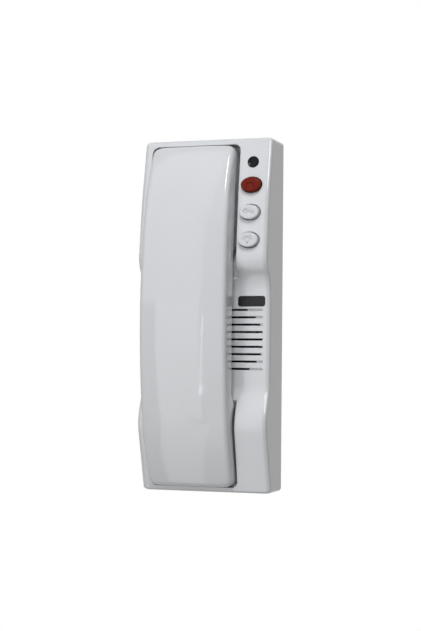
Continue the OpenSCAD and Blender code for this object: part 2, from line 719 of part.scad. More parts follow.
capacitor_pitch = 10;
// Crimp round the foot of a can: its height and depth, and the rounding of the can's top
crimp_y = 1.5;
crimp_in = 0.3;
crimp_half = 0.5;
can_round = 0.4;
capacitor_x = main_board_x0 + capacitor_d / 2 + 3.85;
capacitor_ys = [for (i = [1 : 3]) main_board_bottom + capacitor_pitch * i];
module electrolytic_capacitors() color("midnightblue") on_wall() for (y = capacitor_ys)
    translate([capacitor_x, y, main_board_front]) rotate_extrude() polygon([[0, 0], [capacitor_d / 2, 0],
        [capacitor_d / 2, crimp_y - crimp_half], [capacitor_d / 2 - crimp_in, crimp_y],
        [capacitor_d / 2, crimp_y + crimp_half], [capacitor_d / 2, capacitor_h - can_round],
        [capacitor_d / 2 - can_round, capacitor_h], [0, capacitor_h]]);
chip_w = 7.5;
chip_h = 10.2;
chip_t = 2.3;
chip_legs = 7;
chip_pitch = 1.27;
chip_lift = 0.15;
leg_reach = 1.2;
leg_half = 0.2;
leg_t = 0.5;
chip_x = terminal_x + 3;
chip_drop = 30;
chip_y = main_board_top - chip_drop;
module control_chip() color("black") on_wall() translate([chip_x, chip_y, main_board_front]) {
    box([-chip_w / 2, -chip_h / 2, chip_lift], [chip_w / 2, chip_h / 2, chip_t]);
    for (i = [0 : chip_legs - 1])
        box([-chip_w / 2 - leg_reach, (i - (chip_legs - 1) / 2) * chip_pitch - leg_half, 0],
            [chip_w / 2 + leg_reach, (i - (chip_legs - 1) / 2) * chip_pitch + leg_half, leg_t]);
}

// Keys with their switches, and the status light

module key_switches() color("dimgray") on_wall() for (y = key_ys) difference() {
    translate([key_x, y, key_board_front + switch_h / 2])
        cube([switch_side, switch_side, switch_h], center = true);
    post(key_x, y, key_board_front + switch_h - key_travel - 1.2, key_board_front + switch_h + 1,
        plunger_d + 2 * slide_gap);
}
plunger_proud = 1.2;
plunger_top = key_board_front + switch_h + plunger_proud;
module plunger(y) color("black") on_wall()
    post(key_x, y, key_board_front + switch_h - 1, plunger_top, plunger_d);
flange_t = 1.2;
stem_d = 4.6;
flange_gap = 0.3;
// A key: an oval cap whose top lies along the face, a flange that keeps it in, and a stem to its switch
module key(y) {
    slope = face_slope(y);
    flange_top = face(y + key_flange_h / 2) - wall - flange_gap;
    insets = [for (a = [0 : 22.5 : 90]) [key_edge_r * (1 - cos(a)), key_edge_r * (1 - sin(a))]];
    function tilted(w, h, z) = [for (p = oval(w, h, key_sides))
        [key_x + p.x, y + p.y, z - p.y * tan(slope)]];
    function flat(z) = [for (p = oval(key_w, key_h, key_sides)) [key_x + p.x, y + p.y, z]];
    on_wall() {
        loft(concat([flat(flange_top - flange_t / 2)],
            [for (e = insets) tilted(key_w - 2 * e[0], key_h - 2 * e[0], face(y) + key_proud - e[1])]));
        translate([key_x, y, flange_top - flange_t / 2])
            cube([key_flange_w, key_flange_h, flange_t], center = true);
        post(key_x, y, plunger_top, flange_top - flange_t / 2, stem_d);
    }
}
module call_key() color("firebrick") key(key_ys[0]);
module door_key() color("gainsboro") key(key_ys[1]);
module lamp_key() color("gainsboro") key(key_ys[2]);
module call_plunger() plunger(key_ys[0]);
module door_plunger() plunger(key_ys[1]);
module lamp_plunger() plunger(key_ys[2]);

bezel_lip = 0.5;
bezel_flange_t = 1;
// Room under the skin for the curve of the face
bezel_room = 0.3;
light_len = 8.4;
light_dome = 1;
module light_bezel() color("black") on_wall() on_face(key_x, light_y) difference() {
    union() {
        translate([0, 0, -wall - bezel_room - bezel_flange_t / 2])
            cylinder(d = bezel_d, h = wall + bezel_room + bezel_flange_t / 2 + bezel_lip);
        translate([0, 0, -wall - bezel_room - bezel_flange_t])
            cylinder(d = bezel_flange_d, h = bezel_flange_t);
    }
    translate([0, 0, -2 * wall]) cylinder(d = light_d + 2 * fixed_gap, h = 4 * wall);
}
module status_light() color("maroon") on_wall() on_face(key_x, light_y)
    rotate_extrude() polygon(concat([[0, -light_len], [light_d / 2, -light_len]],
        [for (a = [0 : 15 : 90]) [light_d / 2 * cos(a), bezel_lip - light_dome * (1 - sin(a))]]));

// Call speaker behind the grille

flange_ring = 2.6;
speaker_flange_t = 1;
speaker_front = waist_inner - gasket_t;
magnet_t = 6;
basket_t = 0.8;
pole_hole_r = 3;
cone_lift = 1.2;
// The inside of the basket: its mouth, its foot and its height
basket_mouth = speaker_d / 2 - flange_ring - 0.6;
basket_foot = magnet_d / 2 - 1;
basket_h = speaker_h - magnet_t - basket_t;
module speaker_gasket() color("dimgray") on_wall()
    translate([speaker_x, speaker_y, speaker_front]) ring(speaker_d, speaker_d - 2 * gasket_w, gasket_t);
module speaker_frame() color("silver") on_wall()
    translate([speaker_x, speaker_y, speaker_front]) rotate_extrude() polygon([
        [speaker_d / 2, 0], [speaker_d / 2, -speaker_flange_t],
        [speaker_d / 2 - flange_ring, -speaker_flange_t], [magnet_d / 2, -basket_h],
        [magnet_d / 2, -basket_h - basket_t], [pole_hole_r, -basket_h - basket_t],
        [pole_hole_r, -basket_h], [basket_foot, -basket_h], [basket_mouth, 0]]);
// The cone's rolled edge reaches the inside of the basket, and its cap stands over the pole
cone_rim_drop = 1.4;
cone_rim_t = 0.4;
cone_t = 0.6;
cone_dome = 0.8;
cap_r = 4;
roll_w = 2;
cone_edge = basket_mouth - (basket_mouth - basket_foot) * cone_rim_drop / basket_h - seat_gap;
cone_low = cone_lift - basket_h;
module speaker_cone() color("darkslategray") on_wall()
    translate([speaker_x, speaker_y, speaker_front]) rotate_extrude() polygon([
        [0, cone_low + cone_dome + cone_t], [cap_r, cone_low + cone_t],
        [cone_edge - roll_w, -cone_rim_drop], [cone_edge - roll_w / 2, -cone_rim_drop / 2],
        [cone_edge, cone_rim_t - cone_rim_drop], [cone_edge, -cone_rim_drop],
        [cone_edge - roll_w / 2, -cone_rim_drop - cone_rim_t],
        [cap_r, cone_low], [0, cone_low + cone_dome]]);
module speaker_magnet() color("gray") on_wall()
    translate([speaker_x, speaker_y, speaker_front - speaker_h]) rotate_extrude() polygon([[0, 0],
        [magnet_d / 2 - 0.5, 0], [magnet_d / 2, 0.5], [magnet_d / 2, magnet_t], [0, magnet_t]]);

// Hook: the lever that the handset holds down, its bracket, pin, spring and switch

ear_t = 1.6;
ear_gap = 6.3;
ear_reach = 2.6;
pin_over = 0.5;
bracket_screw_len = 4.4;
module hook_bracket() color("silver") on_wall() difference() {
    union() {
        box([hook_x - bracket_half, hook_pin_y - bracket_reach, bracket_front - bracket_t],
            [hook_x + bracket_half, hook_pin_y + bracket_reach, bracket_front]);
        for (side = [-1, 1]) {
            x = hook_x + side * (ear_gap + ear_t / 2);
            box([x - ear_t / 2, hook_pin_y - ear_reach, hook_pin_z],
                [x + ear_t / 2, hook_pin_y + ear_reach, bracket_front - bracket_t / 2]);
            bar_across(x - ear_t / 2, x + ear_t / 2, hook_pin_y, hook_pin_z, 2 * ear_reach);
        }
    }
    bar_across(hook_x - far, hook_x + far, hook_pin_y, hook_pin_z, hook_pin_d + 2 * hair);
    for (p = bracket_posts)
        post(p.x, p.y, bracket_front - bracket_t - 1, bracket_front + 1, screw_d + screw_play / 2);
}
module hook_bracket_screws() color("silver") on_wall() for (p = bracket_posts)
    translate([p.x, p.y, bracket_front - bracket_t])
        screw(pilot_d, bracket_screw_len, screw_head_d, screw_head_h);
pin_half = ear_gap + ear_t + pin_over;
module hook_pin() color("silver") on_wall()
    bar_across(hook_x - pin_half, hook_x + pin_half, hook_pin_y, hook_pin_z, hook_pin_d);
hub_d = 5;
lever_x0 = hook_x - ear_gap + 0.3;
lever_x1 = lever_x0 + lever_w;
lever_low = hook_pin_z - lever_t / 2;
lever_high = hook_pin_z + lever_t / 2;
tail_w = 5;
tail_x = hook_x - 1;
tip_room = 4;
module hook_lever() color("whitesmoke") on_wall() difference() {
    union() {
        box([lever_x0, hook_pin_y, lever_low], [lever_x1, hook_pin_y + nub_reach + tip_room, lever_high]);
        box([tail_x - tail_w / 2, hook_pin_y - tail_reach, lever_low],
            [tail_x + tail_w / 2, hook_pin_y, lever_high]);
        bar_across(lever_x0, lever_x1, hook_pin_y, hook_pin_z, hub_d);
        translate([hook_x, 0, 0]) across(nub_w) polygon([
            [nub_low, hook_pin_z], [nub_high, hook_pin_z], [nub_high, cradle_floor - nub_slope],
            [nub_high - nub_slope, cradle_floor], [nub_low + nub_chamfer, cradle_floor],
            [nub_low, cradle_floor - nub_chamfer]]);
    }
    bar_across(lever_x0 - 1, lever_x1 + 1, hook_pin_y, hook_pin_z, hook_pin_d + 2 * fixed_gap);
}
// Torsion spring: a helix round the pin between the lever and the ear, with two straight legs
spring_r = hook_pin_d / 2 + spring_wire / 2 + 0.45;
spring_x0 = lever_x1 + spring_wire / 2 + 0.3;
spring_x1 = hook_x + ear_gap - spring_wire / 2 - 0.3;
spring_leg = 6;
spring_rings = 12;
spring_sides = 6;
function spring_point(t) = let (a = 360 * spring_turns * t)
    [spring_x0 + (spring_x1 - spring_x0) * t, hook_pin_y + spring_r * sin(a), hook_pin_z - spring_r * cos(a)];
spring_route = concat([spring_point(0) + [0, spring_leg, 0]],
    [for (i = [0 : spring_turns * spring_rings]) spring_point(i / (spring_turns * spring_rings))],
    [spring_point(1) - [0, spring_leg, 0]]);
function ring_about(p, along, r, n) =
    let (t = unit(along), side = unit(cross(t, [1, 0, 0])), up = cross(side, t))
    [for (i = [0 : n - 1]) p + r * (cos(i * 360 / n) * up + sin(i * 360 / n) * side)];
function route_along(route, i) = route[min(i + 1, len(route) - 1)] - route[max(i - 1, 0)];
module hook_spring() color("silver") on_wall()
    loft([for (i = [0 : len(spring_route) - 1])
        ring_about(spring_route[i], route_along(spring_route, i), spring_wire / 2, spring_sides)]);

hook_switch_w = 12.8;
hook_switch_h = 6.2;
hook_plunger_d = 2.4;
hook_plunger_end = lever_high + seat_gap;
module hook_switch() color("black") on_wall() difference() {
    box([hook_x - hook_switch_w / 2, hook_switch_y - hook_switch_deep / 2, main_board_back - hook_switch_h],
        [hook_x + hook_switch_w / 2, hook_switch_y + hook_switch_deep / 2, main_board_back]);
    post(hook_x, hook_switch_y, main_board_back - hook_switch_h - 1, main_board_back - hook_switch_h + 3,
        hook_plunger_d + 2 * slide_gap);
}
module hook_switch_plunger() color("firebrick") on_wall()
    post(hook_x, hook_switch_y, hook_plunger_end, main_board_back - hook_switch_h + 2.6, hook_plunger_d);

// Rubber grommet in a wall: a sleeve with an opened mouth and a flange on the inside
grommet_mouth = 0.3;
grommet_flange_t = 1.2;
module grommet(d, inner_flange, wall_here) rotate_extrude() polygon([
    [cord_bore / 2 + grommet_mouth, 0], [d / 2, 0], [d / 2, wall_here], [inner_flange / 2, wall_here],
    [inner_flange / 2, wall_here + grommet_flange_t], [cord_bore / 2, wall_here + grommet_flange_t],
    [cord_bore / 2, grommet_mouth]]);
module base_cord_grommet() color("dimgray") on_wall()
    translate([grommet_x, -unit_h / 2, grommet_z]) rotate([-90, 0, 0])
        grommet(grommet_d, grommet_d + 2 * grommet_flange_t, wall);

// Handset

// Section of the handset at the height y: back left, left flank, crowned front, right flank, back right
handset_arc_steps = 5;
crown_steps = 6;
function handset_section(y) =
    let (w = handset_width(y) - end_inset(y, handset_bottom, handset_top, handset_corner_r),
        z = front(y) - end_inset(y, handset_bottom, handset_top, handset_end_r),
        r = handset_edge_r, a0 = atan(2 * front_crown * (w - r) / (w * w)),
        xs = w - r + r * sin(a0), zs = z - front_crown * pow(xs / w, 2),
        c = [xs - r * sin(a0), zs - r * cos(a0)],
        right = concat(
            [for (i = [1 : crown_steps / 2]) let (x = xs * 2 * i / crown_steps)
                [x, z - front_crown * pow(x / w, 2)]],
            [for (i = [1 : handset_arc_steps]) let (a = a0 + (90 - a0) * i / handset_arc_steps)
                [c.x + r * sin(a), c.y + r * cos(a)]],
            [[w + flank_lean, back(y)]]),
        last = len(right) - 1)
    concat([for (i = [last : -1 : 0]) [handset_x - right[i].x, y, right[i].y]], [[handset_x, y, z]],
        [for (p = right) [handset_x + p.x, y, p.y]]);
handset_end_steps = 6;
front_step = 8;
handset_inner_low = handset_bottom + handset_corner_r;
handset_inner_high = handset_top - handset_corner_r;
// Heights of the sections: the rounded ends, the corners of the back edge, and a regular step between them
back_corners = [for (p = back_path) if (p.x > handset_inner_low + 1 && p.x < handset_inner_high - 1) p.x];
function gap_heights(low, high) = let (n = ceil((high - low) / front_step))
    n < 2 ? [] : [for (i = [1 : n - 1]) low + (high - low) * i / n];
handset_marks = concat([handset_inner_low], back_corners, [handset_inner_high]);
handset_heights = concat(end_heights(handset_bottom, 1, handset_corner_r, handset_end_steps),
    [for (i = [0 : len(handset_marks) - 2]) each concat(i == 0 ? [] : [handset_marks[i]],
        gap_heights(handset_marks[i], handset_marks[i + 1]))],
    [for (i = [handset_end_steps : -1 : 0])
        handset_top - handset_corner_r * (1 - cos(i * 90 / handset_end_steps))]);

// A band of the handset between two depths above its back edge, inside the given outline
module handset_band(inset, z0, z1) intersection() {
    linear_extrude(height = far) polygon(handset_outline(inset));
    across(unit_w) polygon(concat([for (p = back_path) [p.x, p.y + z0]],
        [for (i = [len(back_path) - 1 : -1 : 0]) [back_path[i].x, back_path[i].y + z1]]));
}
inner_heights = heights(handset_bottom, handset_top, handset_corner_r, 3, 24);
shell_front_t = shell_wall + front_crown;
// Inside of the shell, open at the back
module shell_cavity() intersection() {
    linear_extrude(height = far) polygon(handset_outline(shell_wall));
    across(unit_w) polygon(concat([[handset_bottom, 0]],
        [for (y = inner_heights) let (end = end_inset(y, handset_bottom, handset_top, handset_end_r))
            [y, front(y) - end - shell_front_t]],
        [[handset_top, 0]]));
}
handset_boss_d = 6.4;
module shell_boss(y) post(handset_x, y, cup_back + cover_t, front(y) - shell_front_t + 1, handset_boss_d);
// The cord's bore lies just above the rim of the cradle
handset_grommet_d = 4.8;
handset_grommet_z = front(handset_bottom) - handset_end_r - handset_grommet_d / 2 - 0.5;
module handset_shell() color("whitesmoke") on_wall() difference() {
    union() {
        difference() {
            loft([for (y = handset_heights) handset_section(y)]);
            shell_cavity();
        }
        for (y = [ear_screw_y, mouth_screw_y]) shell_boss(y);
    }
    for (y = [ear_screw_y, mouth_screw_y]) post(handset_x, y, cup_back, cup_back + cover_t + 9, pilot_d);
    bar_up(handset_x, handset_grommet_z, handset_bottom - 1, handset_bottom + shell_wall + 1,
        handset_grommet_d + 2 * fixed_gap);
}
// Round pattern of sound holes, and the room round a sunk screw head
receiver_hole_d = 2;
microphone_hole_d = 1.6;
slot_room = 0.3;
handset_screw_len = 8;
module sound_holes(y, d, r, n) {
    post(handset_x, y, 0, far / 2, d);
    for (i = [0 : n - 1]) post(handset_x + r * cos(i * 360 / n), y + r * sin(i * 360 / n), 0, far / 2, d);
}
module handset_inner_cover() color("gainsboro") on_wall() difference() {
    handset_band(shell_wall + fixed_gap, 0, cover_t);
    sound_holes(receiver_y, receiver_hole_d, 4, 6);
    sound_holes(receiver_y, receiver_hole_d, 8, 12);
    sound_holes(microphone_y, microphone_hole_d, 3, 3);
    for (y = [ear_screw_y, mouth_screw_y]) {
        post(handset_x, y, 0, cup_back + cover_t + 1, screw_d + screw_play);
        post(handset_x, y, 0, cup_back + screw_head_h, screw_head_d + 2 * slot_room);
    }
}
module handset_screws() color("silver") on_wall() for (y = [ear_screw_y, mouth_screw_y])
    translate([handset_x, y, cup_back + screw_head_h])
        screw(pilot_d, handset_screw_len, screw_head_d, screw_head_h - fixed_gap);
capsule_seat = cup_back + cover_t;
receiver_gasket_t = 1;
module receiver_gasket() color("dimgray") on_wall() translate([handset_x, receiver_y, capsule_seat])
    ring(receiver_d - 2, receiver_d - 8, receiver_gasket_t);
module receiver_capsule() color("gray") on_wall()
    translate([handset_x, receiver_y, capsule_seat + receiver_gasket_t]) rotate_extrude() polygon([[0, 0],
        [receiver_d / 2, 0], [receiver_d / 2, receiver_h * 0.45], [receiver_d / 2 - 2, receiver_h * 0.6],
        [receiver_d * 0.3, receiver_h * 0.7], [receiver_d * 0.3, receiver_h], [0, receiver_h]]);
microphone_h = 5;
boot_t = 1.4;
module microphone_boot() color("dimgray") on_wall() translate([handset_x, microphone_y, capsule_seat])
    rotate_extrude() polygon([[microphone_d / 2 - 2, 0], [microphone_d / 2 + boot_t, 0],
        [microphone_d / 2 + boot_t, microphone_h], [microphone_d / 2, microphone_h], [microphone_d / 2, 1],
        [microphone_d / 2 - 2, 1]]);
module microphone_capsule() color("silver") on_wall()
    translate([handset_x, microphone_y, capsule_seat + 1]) rotate_extrude() polygon([[0, 0],
        [microphone_d / 2, 0], [microphone_d / 2, microphone_h], [microphone_d / 2 - 0.5, microphone_h + 0.5],
        [0, microphone_h + 0.5]]);
weight_w = 26;
module handset_weight() color("slategray") on_wall()
    translate([handset_x, grip_mid_y, grip_back + cover_t + fixed_gap + weight_t / 2])
        cube([weight_w, weight_len, weight_t], center = true);
module handset_cord_grommet() color("dimgray") on_wall()
    translate([handset_x, handset_bottom, handset_grommet_z]) rotate([-90, 0, 0])
        grommet(handset_grommet_d, handset_grommet_d + 2, shell_wall);

front_housing();
back_plate();
lock_screw();
main_board();
key_board();
board_screws();
terminal_block();
terminal_screws();
electrolytic_capacitors();
control_chip();
key_switches();
status_light();
light_bezel();
speaker_gasket();
speaker_frame();
speaker_cone();
speaker_magnet();
hook_bracket();
hook_bracket_screws();
hook_pin();
hook_spring();
hook_lever();
hook_switch();
hook_switch_plunger();
base_cord_grommet();
call_key();
call_plunger();
door_key();
door_plunger();
lamp_key();
lamp_plunger();
handset_shell();
handset_inner_cover();
receiver_capsule();
receiver_gasket();
microphone_capsule();
microphone_boot();
handset_weight();
handset_screws();
handset_cord_grommet();
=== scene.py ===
"""Looks of a wall-mounted audio intercom: its moulded pieces, finishes, light and camera.

Pieces are modelled in millimetres in the panel's own frame, x to the right, y up the wall and
z out of the wall, and are stood up against the wall, in metres, when they are finished.
"""
import json
import math
from bisect import bisect_right

import bmesh
import bpy
from mathutils import Matrix, Vector


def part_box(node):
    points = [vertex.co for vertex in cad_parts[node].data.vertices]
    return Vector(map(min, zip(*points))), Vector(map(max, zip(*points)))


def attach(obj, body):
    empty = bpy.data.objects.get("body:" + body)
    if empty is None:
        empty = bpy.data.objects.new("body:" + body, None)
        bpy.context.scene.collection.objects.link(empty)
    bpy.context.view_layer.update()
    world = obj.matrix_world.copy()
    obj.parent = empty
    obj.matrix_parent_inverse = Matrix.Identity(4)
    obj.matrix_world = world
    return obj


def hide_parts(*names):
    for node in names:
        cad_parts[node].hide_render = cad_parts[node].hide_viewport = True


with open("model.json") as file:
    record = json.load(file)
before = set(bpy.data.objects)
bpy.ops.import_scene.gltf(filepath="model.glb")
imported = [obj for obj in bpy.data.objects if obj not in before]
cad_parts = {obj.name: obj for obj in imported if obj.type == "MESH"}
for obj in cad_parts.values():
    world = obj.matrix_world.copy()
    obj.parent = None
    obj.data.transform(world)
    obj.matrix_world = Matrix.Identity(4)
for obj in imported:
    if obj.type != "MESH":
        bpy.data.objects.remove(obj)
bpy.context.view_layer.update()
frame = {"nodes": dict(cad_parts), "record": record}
cad_nodes = frame["nodes"]

# The panel's frame
MILLIMETRE = 0.001
ON_WALL = Matrix.Scale(MILLIMETRE, 4) @ Matrix.Rotation(math.radians(90), 4, "X")


def panel_box(node):
    """Lowest and highest corners of a CAD node in the panel's frame."""
    low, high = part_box(node)
    return Vector((low.x, low.z, -high.y)) / MILLIMETRE, Vector((high.x, high.z, -low.y)) / MILLIMETRE


def panel_middle(node):
    """Middle of a CAD node's box in the panel's frame."""
    low, high = panel_box(node)
    return (low + high) / 2


# Wall unit
unit_high = panel_box("front_housing")[1]
UNIT_HALF_W = unit_high.x
UNIT_HALF_H = unit_high.y
UNIT_WALL = 2.4
UNIT_CORNER_R = 2.5
UNIT_END_R = 1.6
UNIT_BACK_RIM = 0.5
# Front edge of the wall unit: lean and width of its narrow flat, and the radii on both sides of it
EDGE_TURN = math.radians(28)
EDGE_FLAT = 0.9
EDGE_FACE_R = 1.6
EDGE_SIDE_R = 2
WAIST_DEPTH = 28
CAVITY_HALF_W = UNIT_HALF_W - UNIT_WALL
CAVITY_HALF_H = UNIT_HALF_H - UNIT_WALL
# Height, depth and blend radius of the corners of the face, from the bottom end to the top end
FACE_CORNERS = [(-UNIT_HALF_H, 23.6, 0), (-66, 36.2, 22), (-46, WAIST_DEPTH, 16),
                (19.5, WAIST_DEPTH, 22), (32, 36.8, 16), (72, 32.2, 260), (UNIT_HALF_H, 24.4, 0)]

# Handset
FLANK_LEAN = 1.05
FLANK_FALL = 11.5
handset_low, handset_high = panel_box("handset_shell")
HANDSET_X = (handset_low.x + handset_high.x) / 2
HANDSET_DRAW_IN = 0.3
HANDSET_HALF = (handset_high.x - handset_low.x) / 2 - FLANK_LEAN - HANDSET_DRAW_IN
HANDSET_LOW = handset_low.y
HANDSET_HIGH = handset_high.y
HANDSET_DEPTH = handset_high.z
CUP_BACK = handset_low.z
HANDSET_MID_Y = -15
SIDE_BOW_R = 5800
FRONT_MID_R = 430
FRONT_END_R = 149.9
FRONT_BLEND_LOW = 60
FRONT_BLEND_HIGH = 54
FRONT_CROWN = 1.6
HANDSET_EDGE_R = 3.2
HANDSET_END_R = 2
HANDSET_CORNER_R = 5
HANDSET_RIM = 0.5
PARTING_RISE = 0.4
SKIRT_INSET = 1.4
SKIRT_STEP = 0.6
SKIRT_FADE = 4
SHELL_WALL = 2.2
COVER_GAP = 0.1
COVER_T = 2.2
COVER_EDGE = 0.35
# Height, depth and blend radius of the corners of the handset's back, from its lower to its upper end
BACK_CORNERS = [(HANDSET_LOW, CUP_BACK, 0), (-72, CUP_BACK, 5), (-51, 36.4, 7), (-9.5, 38.2, 330),
                (32, 36.4, 7), (53, CUP_BACK, 5), (HANDSET_HIGH, CUP_BACK, 0)]

# Cradle
CRADLE_SHIFT = 0.3
CRADLE_HALF = 30.2
CRADLE_LOW = -106.8
CRADLE_HIGH = 106.2
CRADLE_CORNER_R = 4
CRADLE_MID_Y = 10
CRADLE_BOW_R = 4200
CRADLE_WALL = 1
CRADLE_RIM_R = 0.3
CRADLE_FLOOR = 14.9
RAMP_BLEND_R = 3
# Between these heights the cradle's floor stays clear of the face, and below them it falls away
MOUTH_LOW = -53
MOUTH_HIGH = 23
MOUTH_CLEAR = 0.02
MOUTH_FALL = 1.5
CRADLE_SILL = WAIST_DEPTH + MOUTH_CLEAR
# Height, depth and blend radius of the corners of the cradle's floor, which comes out at the waist
FLOOR_CORNERS = [(-2 * UNIT_HALF_H, CRADLE_FLOOR, 0), (-66, CRADLE_FLOOR, RAMP_BLEND_R),
                 (-52, CRADLE_SILL, RAMP_BLEND_R), (32, CRADLE_SILL, RAMP_BLEND_R),
                 (46, CRADLE_FLOOR, RAMP_BLEND_R), (2 * UNIT_HALF_H, CRADLE_FLOOR, 0)]
# Clear of every surface that a cutter has to pass
BEYOND = 70
# How far a cutter starts outside the surface that it cuts
CUT_OUT = 1

# Keys and light
KEY_W = 12.6
KEY_H = 9.2
KEY_GAP = 0.5
KEY_PROUD = 3.2
KEY_EDGE_R = 0.9
KEY_DISH = 0.28
KEY_DISH_START = 1.7
KEY_FLANGE_H = 12
KEY_FLANGE_T = 1.2
KEY_STEM_R = 2.3
HOLE_RIM = 0.3
BEZEL_R = 3.6
BEZEL_LIP = 0.5
LENS_R = 2.5
LIGHT_DISH_R = 9.6
LIGHT_FOOT = -8
LENS_SEAM = 0.06
COLLAR_LIP_R = 0.25
COLLAR_FLANGE_R = 4
COLLAR_FLANGE_TOP = -2.8
COLLAR_FLANGE_LOW = -3.7
COLLAR_FOOT = -4
LIGHT_X = panel_middle("status_light").x
LIGHT_Y = 94.5

# Grille
SPEAKER_X, SPEAKER_Y = panel_middle("speaker_gasket").xy
GRILLE_LINES = 9
GRILLE_PITCH = 4.55
SLOT_HALF_H = 0.65
SLOT_RIM = 0.15
SLOT_STEP = 0.03
SLOT_CORNER_R = 0.3
GRILLE_R = 22.2
GRILLE_DROP = 0.56
GROOVE_HALF_W = 22
GROOVE_DEPTH = 1.6

# How finely curved stretches are drawn and measured
ARC_STEPS = 28
END_STEPS = 12
EDGE_STEPS = 8
ROW_STEP = 1.2
FACE_COLUMNS = 22
SIDE_ROWS = 8
CROWN_COLUMNS = 18
FLANK_ROWS = 8
ROUND_STEPS = 64
RIM_STEPS = 4
DISH_STEPS = 9
SLOPE_REACH = 2
MERGE_DISTANCE = 0.0005
SHARP_ANGLE = math.radians(32)


# Profiles and outlines

def rounded_path(corners):
    """Points along a path of height, depth and radius corners, with an arc at every inner corner."""
    points = [Vector(corners[0][:2])]
    for before, corner, after in zip(corners, corners[1:], corners[2:]):
        tip, radius = Vector(corner[:2]), corner[2]
        back_way = (Vector(before[:2]) - tip).normalized()
        onward = (Vector(after[:2]) - tip).normalized()
        half = back_way.angle(onward) / 2
        centre = tip + (back_way + onward).normalized() * radius / math.sin(half)
        start = tip + back_way * radius / math.tan(half) - centre
        end = tip + onward * radius / math.tan(half) - centre
        sweep = -start.angle_signed(end)
        for step in range(ARC_STEPS + 1):
            points.append(centre + Matrix.Rotation(sweep * step / ARC_STEPS, 2) @ start)
    points.append(Vector(corners[-1][:2]))
    return points


def profile(corners):
    """A function that gives the depth of a rounded path at a height."""
    path = rounded_path(corners)
    heights = [point.x for point in path]

    def depth(height):
        index = min(max(bisect_right(heights, height), 1), len(path) - 1)
        low, high = path[index - 1], path[index]
        return low.y + (high.y - low.y) * (height - low.x) / (high.x - low.x)

    return depth


face = profile(FACE_CORNERS)
handset_back = profile(BACK_CORNERS)
hollow_floor = profile(FLOOR_CORNERS)


def cradle_floor(height):
    """Depth of the cradle's floor, clear of the face between the hollows and sloping at the lower mouth."""
    if height > MOUTH_HIGH:
        return hollow_floor(height)
    fall = MOUTH_FALL * max(0, MOUTH_LOW - height)
    return max(hollow_floor(height), face(height) + MOUTH_CLEAR - fall)


def face_slope(height):
    """Angle by which the face leans back at a height, over a short stretch."""
    fall = face(height - SLOPE_REACH) - face(height + SLOPE_REACH)
    return math.atan(fall / (2 * SLOPE_REACH))


def handset_front(height):
    """Depth of the handset's front: one radius in its middle, a tighter one beyond a blend near each end."""
    away = abs(height)
    blend_start = FRONT_BLEND_HIGH if height > 0 else FRONT_BLEND_LOW
    if away < blend_start:
        return HANDSET_DEPTH - FRONT_MID_R + math.sqrt(FRONT_MID_R ** 2 - away ** 2)
    blend = math.asin(blend_start / FRONT_MID_R)
    turn = math.asin(math.sin(blend) + (away - blend_start) / FRONT_END_R)
    drop = FRONT_MID_R * (1 - math.cos(blend)) + FRONT_END_R * (math.cos(blend) - math.cos(turn))
    return HANDSET_DEPTH - drop


def bowed(height, half, mid, radius):
    """Half width of a form with bowed sides."""
    return half - (height - mid) ** 2 / (2 * radius)


def end_inset(height, low, high, radius):
    """How much a rounded end takes off at a height."""
    inside = min(height - low, high - height)
    if inside >= radius:
        return 0
    return radius - math.sqrt(max(0, radius ** 2 - (radius - inside) ** 2))


def rows(low, high, radius):
    """Heights that are close together in the rounded ends and evenly spaced between them."""
    bend = [radius * (1 - math.cos(math.radians(90 * step / END_STEPS))) for step in range(END_STEPS + 1)]
    straight = high - low - 2 * radius
    count = round(straight / ROW_STEP)
    inner = [low + radius + straight * step / count for step in range(1, count)]
    return [low + rise for rise in bend] + inner + [high - rise for rise in reversed(bend)]


def arc(centre, radius, first, last, steps=EDGE_STEPS):
    """Points of an arc, from one angle in degrees to another."""
    angles = [math.radians(first + (last - first) * step / steps) for step in range(steps + 1)]
    return [(centre[0] + radius * math.cos(a), centre[1] + radius * math.sin(a)) for a in angles]


def stretch(start, end, steps):
    """Inner points of a straight stretch, without its two ends."""
    return [tuple(Vector(start).lerp(Vector(end), step / steps)) for step in range(1, steps)]


def oval(width, height):
    """Outline of an oval about the origin."""
    turns = [math.tau * step / ROUND_STEPS for step in range(ROUND_STEPS)]
    return [(width / 2 * math.cos(turn), height / 2 * math.sin(turn)) for turn in turns]


def rounded_rectangle(half_w, half_h, radius):
    """Outline of a rectangle with rounded corners about the origin."""
    corners = [(half_w - radius, half_h - radius, 0), (radius - half_w, half_h - radius, 90),
               (radius - half_w, radius - half_h, 180), (half_w - radius, radius - half_h, 270)]
    return [point for x, y, turn in corners for point in arc((x, y), radius, turn, turn + 90)]


def sided_outline(low, high, radius, width):
    """Right and left points, ring-wise, of a long outline with rounded ends."""
    heights = rows(low, high, radius)
    right = [(width(y) - end_inset(y, low, high, radius), y) for y in heights]
    return right + [(-x, y) for x, y in reversed(right)]


def cradle_outline(offset):
    """Outline of the cradle about the handset's axis, moved out by an offset."""
    def width(y):
        return bowed(y, CRADLE_HALF, CRADLE_MID_Y, CRADLE_BOW_R) + offset
    return sided_outline(CRADLE_LOW - offset, CRADLE_HIGH + offset, CRADLE_CORNER_R + offset, width)


def handset_width(height):
    """Half width of the handset's front."""
    return bowed(height, HANDSET_HALF, HANDSET_MID_Y, SIDE_BOW_R)


def handset_outline(inset):
    """Outline of the handset about its own axis, drawn in by an inset."""
    def width(y):
        return handset_width(y) - inset
    return sided_outline(HANDSET_LOW + inset, HANDSET_HIGH - inset, HANDSET_CORNER_R - inset, width)


# Mesh building

